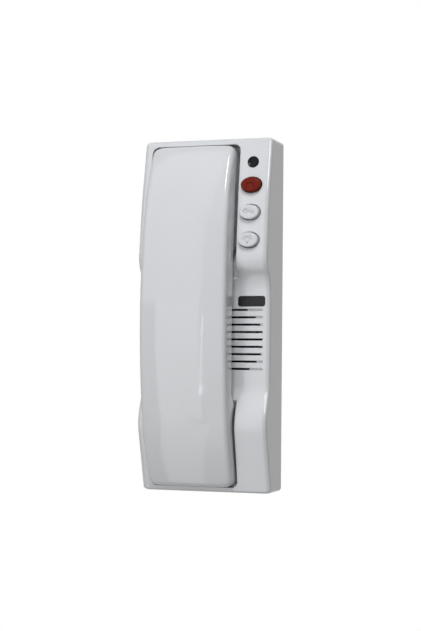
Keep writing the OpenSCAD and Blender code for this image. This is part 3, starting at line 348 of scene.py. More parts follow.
def lofted(rings):
    """A closed skin through rings of points, all with the same number of points."""
    columns, gaps = len(rings[0]), len(rings) - 1
    skin = bmesh.new()
    grid = bmesh.ops.create_grid(skin, x_segments=columns, y_segments=gaps, size=1)
    for vertex in grid["verts"]:
        column = round((vertex.co.x + 1) / 2 * columns) % columns
        row = round((vertex.co.y + 1) / 2 * gaps)
        vertex.co = rings[row][column]
    bmesh.ops.remove_doubles(skin, verts=skin.verts, dist=MERGE_DISTANCE)
    bmesh.ops.recalc_face_normals(skin, faces=skin.faces)
    return skin


def capped(rings):
    """A skin whose first and last rings are closed to their middles."""
    def middle(ring):
        return [sum((Vector(point) for point in ring), Vector()) / len(ring)] * len(ring)
    return lofted([middle(rings[0])] + rings + [middle(rings[-1])])


def stacked(levels):
    """A solid through flat outlines at given depths, from the lowest to the highest."""
    return capped([[Vector((x, y, depth)) for x, y in outline] for outline, depth in levels])


def spun(points):
    """A solid turned about the z axis from a profile of radius and depth."""
    form = bmesh.new()
    corners = [form.verts.new((radius, 0, depth)) for radius, depth in points]
    edges = [form.edges.new(pair) for pair in zip(corners, corners[1:])]
    bmesh.ops.spin(form, geom=corners + edges, cent=(0, 0, 0), axis=(0, 0, 1), angle=math.tau,
                   steps=ROUND_STEPS, use_merge=True)
    bmesh.ops.remove_doubles(form, verts=form.verts, dist=MERGE_DISTANCE)
    bmesh.ops.recalc_face_normals(form, faces=form.faces)
    return form


def block(low, high):
    """A box from its lowest to its highest corner."""
    low, high = Vector(low), Vector(high)
    form = bmesh.new()
    place = Matrix.Translation((low + high) / 2) @ Matrix.Diagonal((*(high - low), 1))
    bmesh.ops.create_cube(form, size=1, matrix=place)
    return form


def placed(form, place):
    """The form, moved by a matrix."""
    form.transform(place)
    return form


def joined(forms):
    """One form that holds several others."""
    whole = bmesh.new()
    for form in forms:
        part = bpy.data.meshes.new("part")
        form.to_mesh(part)
        form.free()
        whole.from_mesh(part)
        bpy.data.meshes.remove(part)
    return whole


def loose_object(form, name):
    """An object in the scene with the form as its mesh."""
    mesh = bpy.data.meshes.new(name)
    form.to_mesh(mesh)
    form.free()
    item = bpy.data.objects.new(name, mesh)
    bpy.context.scene.collection.objects.link(item)
    return item


def cut(form, *cutters):
    """What is left of a closed form when closed cutters are taken out of it, one after the other."""
    body = loose_object(form, "body")
    tools = [loose_object(cutter, "tool") for cutter in cutters]
    for tool in tools:
        step = body.modifiers.new("cut", "BOOLEAN")
        step.operation = "DIFFERENCE"
        step.solver = "MANIFOLD"
        step.object = tool
    left = bmesh.new()
    left.from_object(body, bpy.context.evaluated_depsgraph_get())
    for item in [body] + tools:
        mesh = item.data
        bpy.data.objects.remove(item)
        bpy.data.meshes.remove(mesh)
    bmesh.ops.dissolve_degenerate(left, edges=left.edges, dist=MERGE_DISTANCE)
    return left


def finished(form, name, body, slot, *replaced):
    """The piece made of a form: stood up, shaded, dressed in its slot's finish and riding on its body."""
    piece = loose_object(placed(form, ON_WALL), name)
    piece.data.shade_smooth()
    piece.data.set_sharp_from_angle(angle=SHARP_ANGLE)
    piece.data.materials.append(finishes[slot])
    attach(piece, body)
    if replaced:
        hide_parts(*replaced)
    return piece


# Shader building

def add(tree, kind, inputs=None, **fields):
    """Adds a node with its fields set and its inputs set or linked, and returns it."""
    made = tree.nodes.new(kind)
    for field, value in fields.items():
        setattr(made, field, value)
    for key, value in (inputs or {}).items():
        socket = next(s for s in made.inputs if key in (s.identifier, s.name))
        if isinstance(value, bpy.types.NodeSocket):
            tree.links.new(value, socket)
        else:
            socket.default_value = value
    return made


def shader_group(name, inputs, outputs):
    """An empty shader group with its sockets, and its input and output nodes."""
    tree = bpy.data.node_groups.new(name, "ShaderNodeTree")
    for way, sockets in (("INPUT", inputs), ("OUTPUT", outputs)):
        for label, kind in sockets.items():
            tree.interface.new_socket(label, in_out=way, socket_type="NodeSocket" + kind)
    return tree, tree.nodes.new("NodeGroupInput").outputs, tree.nodes.new("NodeGroupOutput").inputs


def mixed(tree, factor, first, second):
    """The colour between two others by a factor."""
    made = add(tree, "ShaderNodeMix", {"Factor_Float": factor, "A_Color": first, "B_Color": second},
               data_type="RGBA")
    return next(s for s in made.outputs if s.identifier == "Result_Color")


def mapped(tree, value, low, high, to_low=0.0, to_high=1.0):
    """A value moved from one range to another and kept inside it."""
    made = add(tree, "ShaderNodeMapRange", {"Value": value, "From Min": low, "From Max": high,
                                            "To Min": to_low, "To Max": to_high})
    return made.outputs["Result"]


def combined(tree, operation, *values):
    """Up to three values put together by an operation of the math node."""
    sockets = dict(zip(("Value", "Value_001", "Value_002"), values))
    return add(tree, "ShaderNodeMath", sockets, operation=operation).outputs["Value"]


def noise(tree, vector, scale, detail, roughness=0.5, distortion=0.0):
    """A cloudy pattern."""
    made = add(tree, "ShaderNodeTexNoise", {"Vector": vector, "Scale": scale, "Detail": detail,
                                            "Roughness": roughness, "Distortion": distortion})
    return made.outputs["Fac"]


POLISH_PATCHES = 34.0
POLISH_RANGE = (0.3, 0.7)


def moulded_skin_group():
    """Fine texture of a spark-eroded mould, with polish that varies in broad patches."""
    tree, given, made = shader_group(
        "moulded skin", {"Vector": "Vector", "Grain": "Float", "Polish": "Float", "Spread": "Float"},
        {"Roughness": "Float", "Height": "Float"})
    grain = noise(tree, given["Vector"], given["Grain"], detail=2.0, roughness=0.55)
    patches = noise(tree, given["Vector"], POLISH_PATCHES, detail=3.0)
    swing = mapped(tree, patches, *POLISH_RANGE, to_low=-1.0, to_high=1.0)
    roughness = combined(tree, "MULTIPLY_ADD", swing, given["Spread"], given["Polish"])
    tree.links.new(roughness, made["Roughness"])
    tree.links.new(grain, made["Height"])
    return tree


SMUDGE_SCALE = 26.0
SMUDGE_RANGE = (0.48, 0.78)
DUST_SCALE = 420.0
DUST_RANGE = (0.16, 0.06)


def handling_soil_group():
    """Faint smudges of handling and fine specks of dust over a colour."""
    tree, given, made = shader_group(
        "handling soil", {"Vector": "Vector", "Colour": "Color", "Soil": "Color", "Amount": "Float"},
        {"Colour": "Color"})
    smudge = noise(tree, given["Vector"], SMUDGE_SCALE, detail=5.0, roughness=0.6)
    smudge_mask = combined(tree, "MULTIPLY", mapped(tree, smudge, *SMUDGE_RANGE), given["Amount"])
    smudged = mixed(tree, smudge_mask, given["Colour"], given["Soil"])
    dust = add(tree, "ShaderNodeTexVoronoi", {"Vector": given["Vector"], "Scale": DUST_SCALE})
    specks = mapped(tree, dust.outputs["Distance"], *DUST_RANGE)
    dust_mask = combined(tree, "MULTIPLY", specks, given["Amount"])
    tree.links.new(mixed(tree, dust_mask, smudged, given["Soil"]), made["Colour"])
    return tree


DRAWN_OUT = (1.0, 1.0, 0.08)
DULL_SPOTS = 180.0
DULL_RANGE = (0.45, 0.7)
DULL_ROUGHNESS = 0.2


def drawn_metal_group():
    """Fine drawing lines and dull spots of plated metal."""
    tree, given, made = shader_group(
        "drawn metal", {"Vector": "Vector", "Lines": "Float", "Polish": "Float"},
        {"Roughness": "Float", "Height": "Float", "Dullness": "Float"})
    drawn = add(tree, "ShaderNodeMapping", {"Vector": given["Vector"], "Scale": DRAWN_OUT})
    lines = noise(tree, drawn.outputs["Vector"], given["Lines"], detail=3.0)
    spots = noise(tree, given["Vector"], DULL_SPOTS, detail=4.0)
    dullness = mapped(tree, spots, *DULL_RANGE)
    roughness = combined(tree, "MULTIPLY_ADD", dullness, DULL_ROUGHNESS, given["Polish"])
    tree.links.new(roughness, made["Roughness"])
    tree.links.new(lines, made["Height"])
    tree.links.new(dullness, made["Dullness"])
    return tree


moulded_skin = moulded_skin_group()
handling_soil = handling_soil_group()
drawn_metal = drawn_metal_group()


def new_material(name):
    """A node material with its tree, its shader and the object's own coordinates."""
    material = bpy.data.materials.new(name)
    material.use_nodes = True
    tree = material.node_tree
    coordinates = add(tree, "ShaderNodeTexCoord").outputs["Object"]
    return material, tree, tree.nodes["Principled BSDF"], coordinates


def group_node(tree, group, inputs):
    """Places a shader group in a material and returns its outputs."""
    return add(tree, "ShaderNodeGroup", inputs, node_tree=group).outputs


def bumped(tree, shader, height, strength, distance):
    """Feeds a height into the shader's normal."""
    bump = add(tree, "ShaderNodeBump", {"Height": height, "Strength": strength, "Distance": distance})
    tree.links.new(bump.outputs["Normal"], shader.inputs["Normal"])


def opaque(colour):
    """A colour with full alpha."""
    return (*colour, 1.0)


DARK_SOIL = (0.30, 0.28, 0.24)
PALE_DUST = (0.34, 0.33, 0.31)
GRAIN_DISTANCE = 0.00006


def plastic(name, colour, polish, spread=0.04, grain=3200.0, bump=0.05, soil=DARK_SOIL, amount=0.06,
            gloss=0.5):
    """A moulded plastic with a fine skin, uneven polish and faint traces of handling."""
    material, tree, shader, coordinates = new_material(name)
    shader.inputs["Specular IOR Level"].default_value = gloss
    skin = group_node(tree, moulded_skin, {"Vector": coordinates, "Grain": grain, "Polish": polish,
                                           "Spread": spread})
    soiled = group_node(tree, handling_soil, {"Vector": coordinates, "Colour": opaque(colour),
                                              "Soil": opaque(soil), "Amount": amount})
    tree.links.new(soiled["Colour"], shader.inputs["Base Color"])
    tree.links.new(skin["Roughness"], shader.inputs["Roughness"])
    bumped(tree, shader, skin["Height"], bump, GRAIN_DISTANCE)
    return material


FLANK_GLOSS_START = 28
FLANK_GLOSS_FULL = 28.5
FLANK_GLOSS_IOR = 2.1


def polished_flanks(material):
    """Adds a clear gloss to the two flanks of the handset."""
    tree = material.node_tree
    coordinates = add(tree, "ShaderNodeTexCoord").outputs["Object"]
    across = add(tree, "ShaderNodeSeparateXYZ", {"Vector": coordinates}).outputs["X"]
    away = combined(tree, "ABSOLUTE", combined(tree, "SUBTRACT", across, HANDSET_X * MILLIMETRE))
    gloss = mapped(tree, away, FLANK_GLOSS_START * MILLIMETRE, FLANK_GLOSS_FULL * MILLIMETRE)
    shader = tree.nodes["Principled BSDF"]
    shader.inputs["Coat IOR"].default_value = FLANK_GLOSS_IOR
    tree.links.new(gloss, shader.inputs["Coat Weight"])


METAL_BUMP = 0.15


def metal(name, colour, dull_colour, polish, lines):
    """A plated metal with fine drawing lines and dull spots."""
    material, tree, shader, coordinates = new_material(name)
    surface = group_node(tree, drawn_metal, {"Vector": coordinates, "Lines": lines, "Polish": polish})
    shader.inputs["Metallic"].default_value = 1.0
    tree.links.new(mixed(tree, surface["Dullness"], opaque(colour), opaque(dull_colour)),
                   shader.inputs["Base Color"])
    tree.links.new(surface["Roughness"], shader.inputs["Roughness"])
    bumped(tree, shader, surface["Height"], METAL_BUMP, GRAIN_DISTANCE)
    return material


FIBRE_SCALE = 1400.0
FIBRE_RANGE = (0.4, 0.7)
FIBRE_PALER = 2.2
FIBRE_ROUGHNESS = 0.92
FIBRE_BUMP = 0.5
FIBRE_DISTANCE = 0.0002


def pressed_paper(name, colour):
    """Paper pulp of a speaker cone: coarse fibres and no gloss."""
    material, tree, shader, coordinates = new_material(name)
    fibres = noise(tree, coordinates, FIBRE_SCALE, detail=6.0, roughness=0.7, distortion=1.5)
    pale = tuple(FIBRE_PALER * channel for channel in colour)
    shade = mapped(tree, fibres, *FIBRE_RANGE)
    tree.links.new(mixed(tree, shade, opaque(colour), opaque(pale)), shader.inputs["Base Color"])
    shader.inputs["Roughness"].default_value = FIBRE_ROUGHNESS
    bumped(tree, shader, fibres, FIBRE_BUMP, FIBRE_DISTANCE)
    return material


finishes = {
    "housing": plastic("light grey housing", (0.69, 0.70, 0.72), 0.11, spread=0.03, bump=0.03),
    "handset": plastic("gloss grey handset", (0.69, 0.70, 0.72), 0.05, spread=0.015, bump=0.012),
    "plate": plastic("matte grey plate", (0.58, 0.59, 0.61), 0.55, grain=1800.0, bump=0.25, amount=0.12),
    "red_key": plastic("dark red key", (0.165, 0.013, 0.005), 0.34, bump=0.06, amount=0.01, gloss=0.08),
    "white_key": plastic("light grey key", (0.66, 0.67, 0.69), 0.24, bump=0.05, amount=0.05),
    "lens": plastic("smoked lens", (0.006, 0.007, 0.009), 0.06, spread=0.02, grain=1500.0, bump=0.01,
                    soil=PALE_DUST, amount=0.02, gloss=0.085),
    "black_plastic": plastic("black plastic", (0.012, 0.012, 0.014), 0.3, bump=0.1, soil=PALE_DUST,
                             amount=0.03, gloss=0.2),
    "board": plastic("green board", (0.030, 0.160, 0.060), 0.32, grain=700.0, bump=0.2, soil=PALE_DUST),
    "terminal": plastic("green terminal", (0.050, 0.300, 0.100), 0.45, bump=0.15),
    "steel": metal("zinc plated steel", (0.62, 0.62, 0.60), (0.42, 0.42, 0.41), 0.28, 900.0),
    "capacitor": plastic("dark sleeve", (0.030, 0.040, 0.120), 0.3, soil=PALE_DUST),
    "foam": plastic("soft foam", (0.060, 0.060, 0.060), 0.9, grain=1200.0, bump=0.8, soil=PALE_DUST),
    "cone": pressed_paper("pressed paper", (0.020, 0.020, 0.022)),
    "magnet": metal("dull ferrite", (0.22, 0.22, 0.23), (0.14, 0.14, 0.15), 0.5, 300.0),
    "rubber": plastic("matte rubber", (0.045, 0.045, 0.047), 0.72, grain=1500.0, bump=0.2, soil=PALE_DUST),
}
polished_flanks(finishes["handset"])
for row in frame["record"]["subparts"]:
    cad_mesh = cad_nodes[row["node"]].data
    cad_mesh.materials.clear()
    cad_mesh.materials.append(finishes[row["material_slot"]])


# Front housing

def full_ring(half_ring, height, axis):
    """A closed ring at a height from its right half, which runs from the front middle to the back middle."""
    right = [Vector((axis + x, height, depth)) for x, depth in half_ring]
    left = [Vector((axis - x, height, depth)) for x, depth in half_ring[-2:0:-1]]
    return right + left


def unit_edge(half, top):
    """Edge between the face and a side: a narrow flat with an arc on each side of it."""
    outward = Vector((math.sin(EDGE_TURN), math.cos(EDGE_TURN)))
    along = Vector((outward.y, -outward.x)) * EDGE_FLAT
    reach = outward.x * EDGE_FACE_R + along.x + EDGE_SIDE_R * (1 - outward.x)
    face_centre = Vector((half - reach, top - EDGE_FACE_R))
    side_centre = face_centre + outward * (EDGE_FACE_R - EDGE_SIDE_R) + along
    turned = 90 - math.degrees(EDGE_TURN)
    return arc(face_centre, EDGE_FACE_R, 90, turned) + arc(side_centre, EDGE_SIDE_R, turned, 0)


def unit_ring(height):
    """Section of the wall unit: flat face, eased edges, straight sides and back."""
    half = UNIT_HALF_W - end_inset(height, -UNIT_HALF_H, UNIT_HALF_H, UNIT_CORNER_R)
    top = face(height) - end_inset(height, -UNIT_HALF_H, UNIT_HALF_H, UNIT_END_R)
    edge = unit_edge(half, top)
    foot = (half, UNIT_BACK_RIM)
    half_ring = [(0, top)] + stretch((0, top), edge[0], FACE_COLUMNS) + edge
    half_ring += stretch(edge[-1], foot, SIDE_ROWS) + [foot]
    half_ring += [(half - UNIT_BACK_RIM, 0), (0, 0)]
    return full_ring(half_ring, height, 0)


def unit_cavity():
    """Inside of the wall unit, open at the back, less the tub of the cradle."""
    rings = []
    for height in rows(-CAVITY_HALF_H, CAVITY_HALF_H, UNIT_WALL):
        top = face(height) - UNIT_WALL
        half_ring = [(0, top), (CAVITY_HALF_W, top), (CAVITY_HALF_W, -UNIT_WALL), (0, -UNIT_WALL)]
        rings.append(full_ring(half_ring, height, 0))
    return cut(capped(rings), cradle_space(CRADLE_WALL, UNIT_WALL, 0))


def cradle_space(sides, below, rim):
    """Space of the cradle with its sides and floor moved out, and with a rounded rim along the face."""
    def ring(offset, depth, spine=False):
        middle = HANDSET_X + CRADLE_SHIFT
        return [Vector((middle + (0 if spine else x), y, depth(y))) for x, y in cradle_outline(offset)]

    def floor(y):
        return cradle_floor(y) - below

    def wall_top(drop):
        return lambda y: max(floor(y), face(y) - drop)

    def over(y):
        return BEYOND
    rings = [ring(sides, floor, spine=True), ring(sides, floor)]
    if rim:
        for out, rise in arc((rim, -rim), rim, 180, 90):
            rings.append(ring(sides + out, wall_top(-rise)))
    rings += [ring(sides + rim, over), ring(sides + rim, over, spine=True)]
    return lofted(rings)


def key_opening(middle):
    """Cutter for a key's oval hole, with a rounded rim that follows the face."""
    def ring(grow, depth):
        outline = oval(KEY_W + 2 * (KEY_GAP + grow), KEY_H + 2 * (KEY_GAP + grow))
        return [Vector((middle.x + x, middle.y + y, depth(middle.y + y))) for x, y in outline]
    rings = [ring(0, lambda y: CRADLE_FLOOR)]
    for out, rise in arc((HOLE_RIM, -HOLE_RIM), HOLE_RIM, 180, 90):
        rings.append(ring(out, lambda y, lift=rise: face(y) + lift))
    rings.append(ring(HOLE_RIM, lambda y: BEYOND))
    return capped(rings)


def face_frame(x, y):
    """Place on the face with z square to it."""
    return Matrix.Translation((x, y, face(y))) @ Matrix.Rotation(-face_slope(y), 4, "X")


# Finish of each key
KEYS = {"call": "red_key", "door": "white_key", "lamp": "white_key"}
key_middles = {name: panel_middle(name + "_key") for name in KEYS}
light_frame = face_frame(LIGHT_X, LIGHT_Y)
grille_offsets = [(line - (GRILLE_LINES - 1) / 2) * GRILLE_PITCH for line in range(GRILLE_LINES)]


def grille_groove(offset):
    """Cutter for one groove of the grille, with a rim that opens towards the face."""
    levels = [(0, WAIST_DEPTH - GROOVE_DEPTH), (0, WAIST_DEPTH - SLOT_RIM), (SLOT_RIM, WAIST_DEPTH),
              (SLOT_RIM, WAIST_DEPTH + UNIT_WALL)]
    outlines = [(rounded_rectangle(GROOVE_HALF_W + grow, SLOT_HALF_H + grow, SLOT_CORNER_R), depth)
                for grow, depth in levels]
    return placed(stacked(outlines), Matrix.Translation((SPEAKER_X, SPEAKER_Y + offset, 0)))


def grille_slot(offset):
    """Cutter for the through part of a groove, inside the speaker's circle."""
    reach = math.sqrt(GRILLE_R ** 2 - (offset + GRILLE_DROP) ** 2)
    half_w = min(reach, GROOVE_HALF_W - SLOT_STEP)
    outline = rounded_rectangle(half_w, SLOT_HALF_H - SLOT_STEP, SLOT_CORNER_R)
    form = stacked([(outline, WAIST_DEPTH - 2 * UNIT_WALL), (outline, WAIST_DEPTH - GROOVE_DEPTH / 2)])
    return placed(form, Matrix.Translation((SPEAKER_X, SPEAKER_Y + offset, 0)))


def upright_hole(x, depth, low, steps):
    """Cutter for a hole up through the bottom end: radius and height of each step above the low end."""
    stand = Matrix.Translation((x, low, depth)) @ Matrix.Rotation(math.radians(-90), 4, "X")
    return placed(spun([(0, steps[0][1])] + steps + [(0, steps[-1][1])]), stand)


# Openings of the housing
HOOK_ROOM = 0.6
HOOK_SWING = 1.27
NUB_HALF_W = 2.5
NUB_LOW = 76
NUB_HIGH = 84
HOOK_X = -25
HOOK_SLOT_DEPTH = 4
LOCK_DEPTH = 7.4
LOCK_HEAD_R = 3.1
LOCK_HOLE_R = 1.7
LOCK_RECESS = 1.4
LOCK_ROOM = 0.3
GROMMET_HOLE_R = 3.5
END_HOLE_DEPTH = 4
LIGHT_BORE_TOP = 4
TAB_XS = (-24, 24)
TAB_HALF_W = 5.3
TAB_NOTCH_HIGH = 108.8
TAB_NOTCH_DEPTH = 2.5


def housing_openings():
    """Cutters for the holes and slots of the housing, none of which meets another."""
    grommet = panel_middle("base_cord_grommet")
    hook_half = NUB_HALF_W + HOOK_ROOM
    hook_low = NUB_LOW - HOOK_SWING - HOOK_ROOM
    hook_slot = block((HOOK_X - hook_half, hook_low, CRADLE_FLOOR - HOOK_SLOT_DEPTH),
                      (HOOK_X + hook_half, NUB_HIGH + HOOK_ROOM, CRADLE_FLOOR + CUT_OUT))
    notches = [block((x - TAB_HALF_W, CAVITY_HALF_H - CUT_OUT, -CUT_OUT),
                     (x + TAB_HALF_W, TAB_NOTCH_HIGH, TAB_NOTCH_DEPTH)) for x in TAB_XS]
    bore_r = BEZEL_R + COVER_GAP
    light_bore = spun([(0, LIGHT_FOOT), (bore_r, LIGHT_FOOT), (bore_r, LIGHT_BORE_TOP), (0, LIGHT_BORE_TOP)])
    bezel_hole = placed(light_bore, light_frame)
    lock = upright_hole(0, LOCK_DEPTH, -UNIT_HALF_H,
                        [(LOCK_HEAD_R, -CUT_OUT), (LOCK_HEAD_R, LOCK_RECESS),
                         (LOCK_HOLE_R, LOCK_RECESS), (LOCK_HOLE_R, END_HOLE_DEPTH)])
    cord_hole = upright_hole(grommet.x, grommet.z, -UNIT_HALF_H,
                             [(GROMMET_HOLE_R, -CUT_OUT), (GROMMET_HOLE_R, END_HOLE_DEPTH)])
    keys = [key_opening(middle) for middle in key_middles.values()]
    slots = [grille_slot(offset) for offset in grille_offsets]
    return joined([hook_slot, bezel_hole, lock, cord_hole] + notches + keys + slots)


def make_housing():
    """The wall unit's front housing."""
    outer = capped([unit_ring(height) for height in rows(-UNIT_HALF_H, UNIT_HALF_H, UNIT_CORNER_R)])
    grooves = [grille_groove(offset) for offset in grille_offsets]
    form = cut(outer, unit_cavity(), cradle_space(0, 0, CRADLE_RIM_R), joined(grooves), housing_openings())
    return finished(form, "housing_shell", "base", "housing", "front_housing")


# Keys, light and blank plate

SIGN_LINE = 0.6
SIGN_DEPTH = 0.35
BULB_Y = 0.4


def ray(turn, near, far):
    """A straight line of a sign that points away from its middle at an angle in degrees."""
    way = Vector((math.cos(math.radians(turn)), math.sin(math.radians(turn))))
    return [way * near, way * far]


# Lines of the signs sunk in the keys: an arch for talking, a door key, and a lamp with its rays
SIGNS = {
    "call": [arc((0, -1.6), 2.6, 30, 150, ARC_STEPS),
             [(-2.9, -1.3), (-1.9, -1.3)], [(1.9, -1.3), (2.9, -1.3)]],
    "door": [arc((-2.1, 0.3), 1.25, 14, 346, ARC_STEPS),
             [(-0.5, 0.3), (3.4, 0.3)], [(3.15, -0.3), (3.15, -1.4)], [(1.9, -0.3), (1.9, -1.2)]],
    "lamp": [arc((0, BULB_Y), 1.5, -60, 240, ARC_STEPS),
             [(-0.6, -1.5), (0.6, -1.5)], [(-0.6, -2.3), (0.6, -2.3)]]
            + [[(x, y + BULB_Y) for x, y in ray(turn, 2.2, 3.1)] for turn in (0, 40, 140, 180)],
}


def sunk_line(path, to_key):
    """Cutter for one line of a sign, sunk in a key's dished top."""
    points = [Vector(point) for point in path]
    high, low = KEY_DISH, -KEY_DISH - SIGN_DEPTH
    rings = []
    for index, point in enumerate(points):
        along = points[min(index + 1, len(points) - 1)] - points[max(index - 1, 0)]
        side = Vector((-along.y, along.x)).normalized() * SIGN_LINE / 2
        left, right = point + side, point - side
        rings.append([to_key(left, high), to_key(right, high), to_key(right, low), to_key(left, low)])
    return capped(rings)


def make_key(name, slot):
    """An oval key with a rounded edge, a dished top and a sunk sign, on its flange and stem."""
    middle = key_middles[name]
    lean = math.tan(face_slope(middle.y))
    low = panel_box(name + "_key")[0]
    flange_top = face(middle.y + KEY_FLANGE_H / 2) - UNIT_WALL - HOLE_RIM

    def flat(width, height, depth):
        return [Vector((middle.x + x, middle.y + y, depth)) for x, y in oval(width, height)]

    def leaning(inset, rise):
        return [Vector((middle.x + x, middle.y + y, face(middle.y) + rise - y * lean))
                for x, y in oval(KEY_W - 2 * inset, KEY_H - 2 * inset)]
    stem_w = 2 * KEY_STEM_R
    rings = [flat(stem_w, stem_w, low.z), flat(stem_w, stem_w, flange_top - KEY_FLANGE_T),
             flat(KEY_W, KEY_FLANGE_H, flange_top - KEY_FLANGE_T), flat(KEY_W, KEY_FLANGE_H, flange_top),
             flat(KEY_W, KEY_H, flange_top)]
    rings += [leaning(out, rise) for out, rise in
              arc((KEY_EDGE_R, KEY_PROUD - KEY_EDGE_R), KEY_EDGE_R, 180, 90)]
    dish_reach = KEY_H / 2 - KEY_DISH_START
    for step in range(DISH_STEPS):
        share = step / DISH_STEPS
        fall = KEY_DISH * (3 * share ** 2 - 2 * share ** 3)
        rings.append(leaning(KEY_DISH_START + dish_reach * share, KEY_PROUD - fall))

    def on_top(point, rise):
        depth = face(middle.y) + KEY_PROUD + rise - point.y * lean
        return Vector((middle.x + point.x, middle.y + point.y, depth))
    sign = joined([sunk_line(path, on_top) for path in SIGNS[name]])
    return finished(cut(capped(rings), sign), name + "_key_cap", name + "_button", slot, name + "_key")


def dish(radius):
    """Depth of the light's shallow dish at a radius."""
    rim = BEZEL_R - COLLAR_LIP_R
    return BEZEL_LIP - (rim ** 2 - radius ** 2) / (2 * LIGHT_DISH_R)


def make_light():
    """The status light: a dark lens and its collar, dished together, in one bore of the face."""
    lens_radii = [LENS_R * step / ARC_STEPS for step in range(ARC_STEPS, -1, -1)]
    lens = [(0, LIGHT_FOOT), (LENS_R, LIGHT_FOOT)] + [(radius, dish(radius)) for radius in lens_radii]
    finished(placed(spun(lens), light_frame), "status_lens", "base", "lens", "status_light")
    inner, rim = LENS_R + LENS_SEAM, BEZEL_R - COLLAR_LIP_R
    collar_radii = [inner + (rim - inner) * step / EDGE_STEPS for step in range(EDGE_STEPS)]
    slope = [(radius, dish(radius)) for radius in collar_radii]
    collar = [(inner, COLLAR_FOOT)] + slope + arc((rim, BEZEL_LIP - COLLAR_LIP_R), COLLAR_LIP_R, 90, 0)
    collar += [(BEZEL_R, COLLAR_FLANGE_TOP), (COLLAR_FLANGE_R, COLLAR_FLANGE_TOP),
               (COLLAR_FLANGE_R, COLLAR_FLANGE_LOW), (inner, COLLAR_FOOT)]
    finished(placed(spun(collar), light_frame), "light_collar", "base", "lens", "light_bezel")


PLATE_X = 30.4
PLATE_Y = 8.4
PLATE_HALF_W = 8.7
PLATE_HALF_H = 3.2
PLATE_CORNER_R = 1.6
PLATE_T = 0.45
PLATE_EDGE = 0.2
PLATE_LEAST_R = 0.05
PLATE_INSETS = (0.3, 0.6, 0.95)


def make_blank_plate():
    """A plain dark plate on the strip, bent to the face."""
    def ring(inset, rise):
        corner = max(PLATE_CORNER_R - inset, PLATE_LEAST_R)
        outline = rounded_rectangle(PLATE_HALF_W - inset, PLATE_HALF_H - inset, corner)
        return [Vector((PLATE_X + x, PLATE_Y + y, face(PLATE_Y + y) + rise)) for x, y in outline]
    rings = [ring(0, -PLATE_T)]
    rings += [ring(out, rise) for out, rise in arc((PLATE_EDGE, PLATE_T - PLATE_EDGE), PLATE_EDGE, 180, 90)]
    rings += [ring(PLATE_HALF_H * share, PLATE_T) for share in PLATE_INSETS]
    return finished(capped(rings), "blank_plate", "base", "black_plastic")


# Handset

def handset_ring(height):
    """Section of the handset: crowned front, rounded edges, leaning flanks, inset skirt and flat back."""
    width = handset_width(height) - end_inset(height, HANDSET_LOW, HANDSET_HIGH, HANDSET_CORNER_R)
    top = handset_front(height) - end_inset(height, HANDSET_LOW, HANDSET_HIGH, HANDSET_END_R)
    back = handset_back(height)
    radius = HANDSET_EDGE_R
    tilt = math.atan(2 * FRONT_CROWN * (width - radius) / width ** 2)
    edge_x = width - radius + radius * math.sin(tilt)
    xs = [edge_x * step / CROWN_COLUMNS for step in range(CROWN_COLUMNS)]
    half_ring = [(x, top - FRONT_CROWN * (x / width) ** 2) for x in xs]
    edge_depth = top - FRONT_CROWN * (edge_x / width) ** 2
    centre = (width - radius, edge_depth - radius * math.cos(tilt))
    half_ring += arc(centre, radius, 90 - math.degrees(tilt), 0)
    lowest = back + 2 * HANDSET_RIM
    parting = min(max(face(height) + PARTING_RISE, lowest), centre[1] - HANDSET_RIM)
    widest = (width + FLANK_LEAN * min(1, (centre[1] - parting) / FLANK_FALL), parting)
    skirt = SKIRT_INSET * min(1, (parting - lowest) / SKIRT_FADE)
    foot = (widest[0] - skirt, back + HANDSET_RIM)
    step = (foot[0], max(parting - SKIRT_STEP, foot[1] + HANDSET_RIM / 2))
    half_ring += stretch(half_ring[-1], widest, FLANK_ROWS) + [widest, step]
    half_ring += stretch(step, foot, FLANK_ROWS)
    half_ring += arc((foot[0] - HANDSET_RIM, foot[1]), HANDSET_RIM, 0, -90, RIM_STEPS)
    half_ring.append((0, back))
    return full_ring(half_ring, height, HANDSET_X)


def handset_cavity():
    """Inside of the handset, open at the back."""
    low, high = HANDSET_LOW + SHELL_WALL, HANDSET_HIGH - SHELL_WALL
    corner_r = HANDSET_CORNER_R - SHELL_WALL
    rings = []
    for height in rows(low, high, corner_r):
        half = handset_width(height) - SHELL_WALL - end_inset(height, low, high, corner_r)
        top = handset_front(height) - SHELL_WALL - FRONT_CROWN - end_inset(height, low, high, corner_r)
        back = handset_back(height) - SHELL_WALL
        rings.append(full_ring([(0, top), (half, top), (half, back), (0, back)], height, HANDSET_X))
    return capped(rings)


HANDSET_CORD_HOLE_R = 2.5
HANDSET_HOLE_DEPTH = 3


def make_handset():
    """The handset's shell, hollow and open at the back."""
    outer = capped([handset_ring(height) for height in rows(HANDSET_LOW, HANDSET_HIGH, HANDSET_CORNER_R)])
    grommet = panel_middle("handset_cord_grommet")
    cord_hole = upright_hole(grommet.x, grommet.z, HANDSET_LOW,
                             [(HANDSET_CORD_HOLE_R, -CUT_OUT), (HANDSET_CORD_HOLE_R, HANDSET_HOLE_DEPTH)])
    return finished(cut(outer, handset_cavity(), cord_hole), "handset_body", "handset", "handset",
                    "handset_shell")


RECEIVER_Y = panel_middle("receiver_capsule").y
MICROPHONE_Y = panel_middle("microphone_capsule").y
EAR_SCREW_Y = 58
MOUTH_SCREW_Y = -77
SOUND_RIM = 0.25
SEAT_R = 2.3
SEAT_DEPTH = 1.4
SCREW_HOLE_R = 1.3
COVER_CUT_LOW = -2
COVER_CUT_HIGH = 2 * COVER_T
COVER_BEND_OUT = 0.7
COVER_BEND_RISE = 0.3
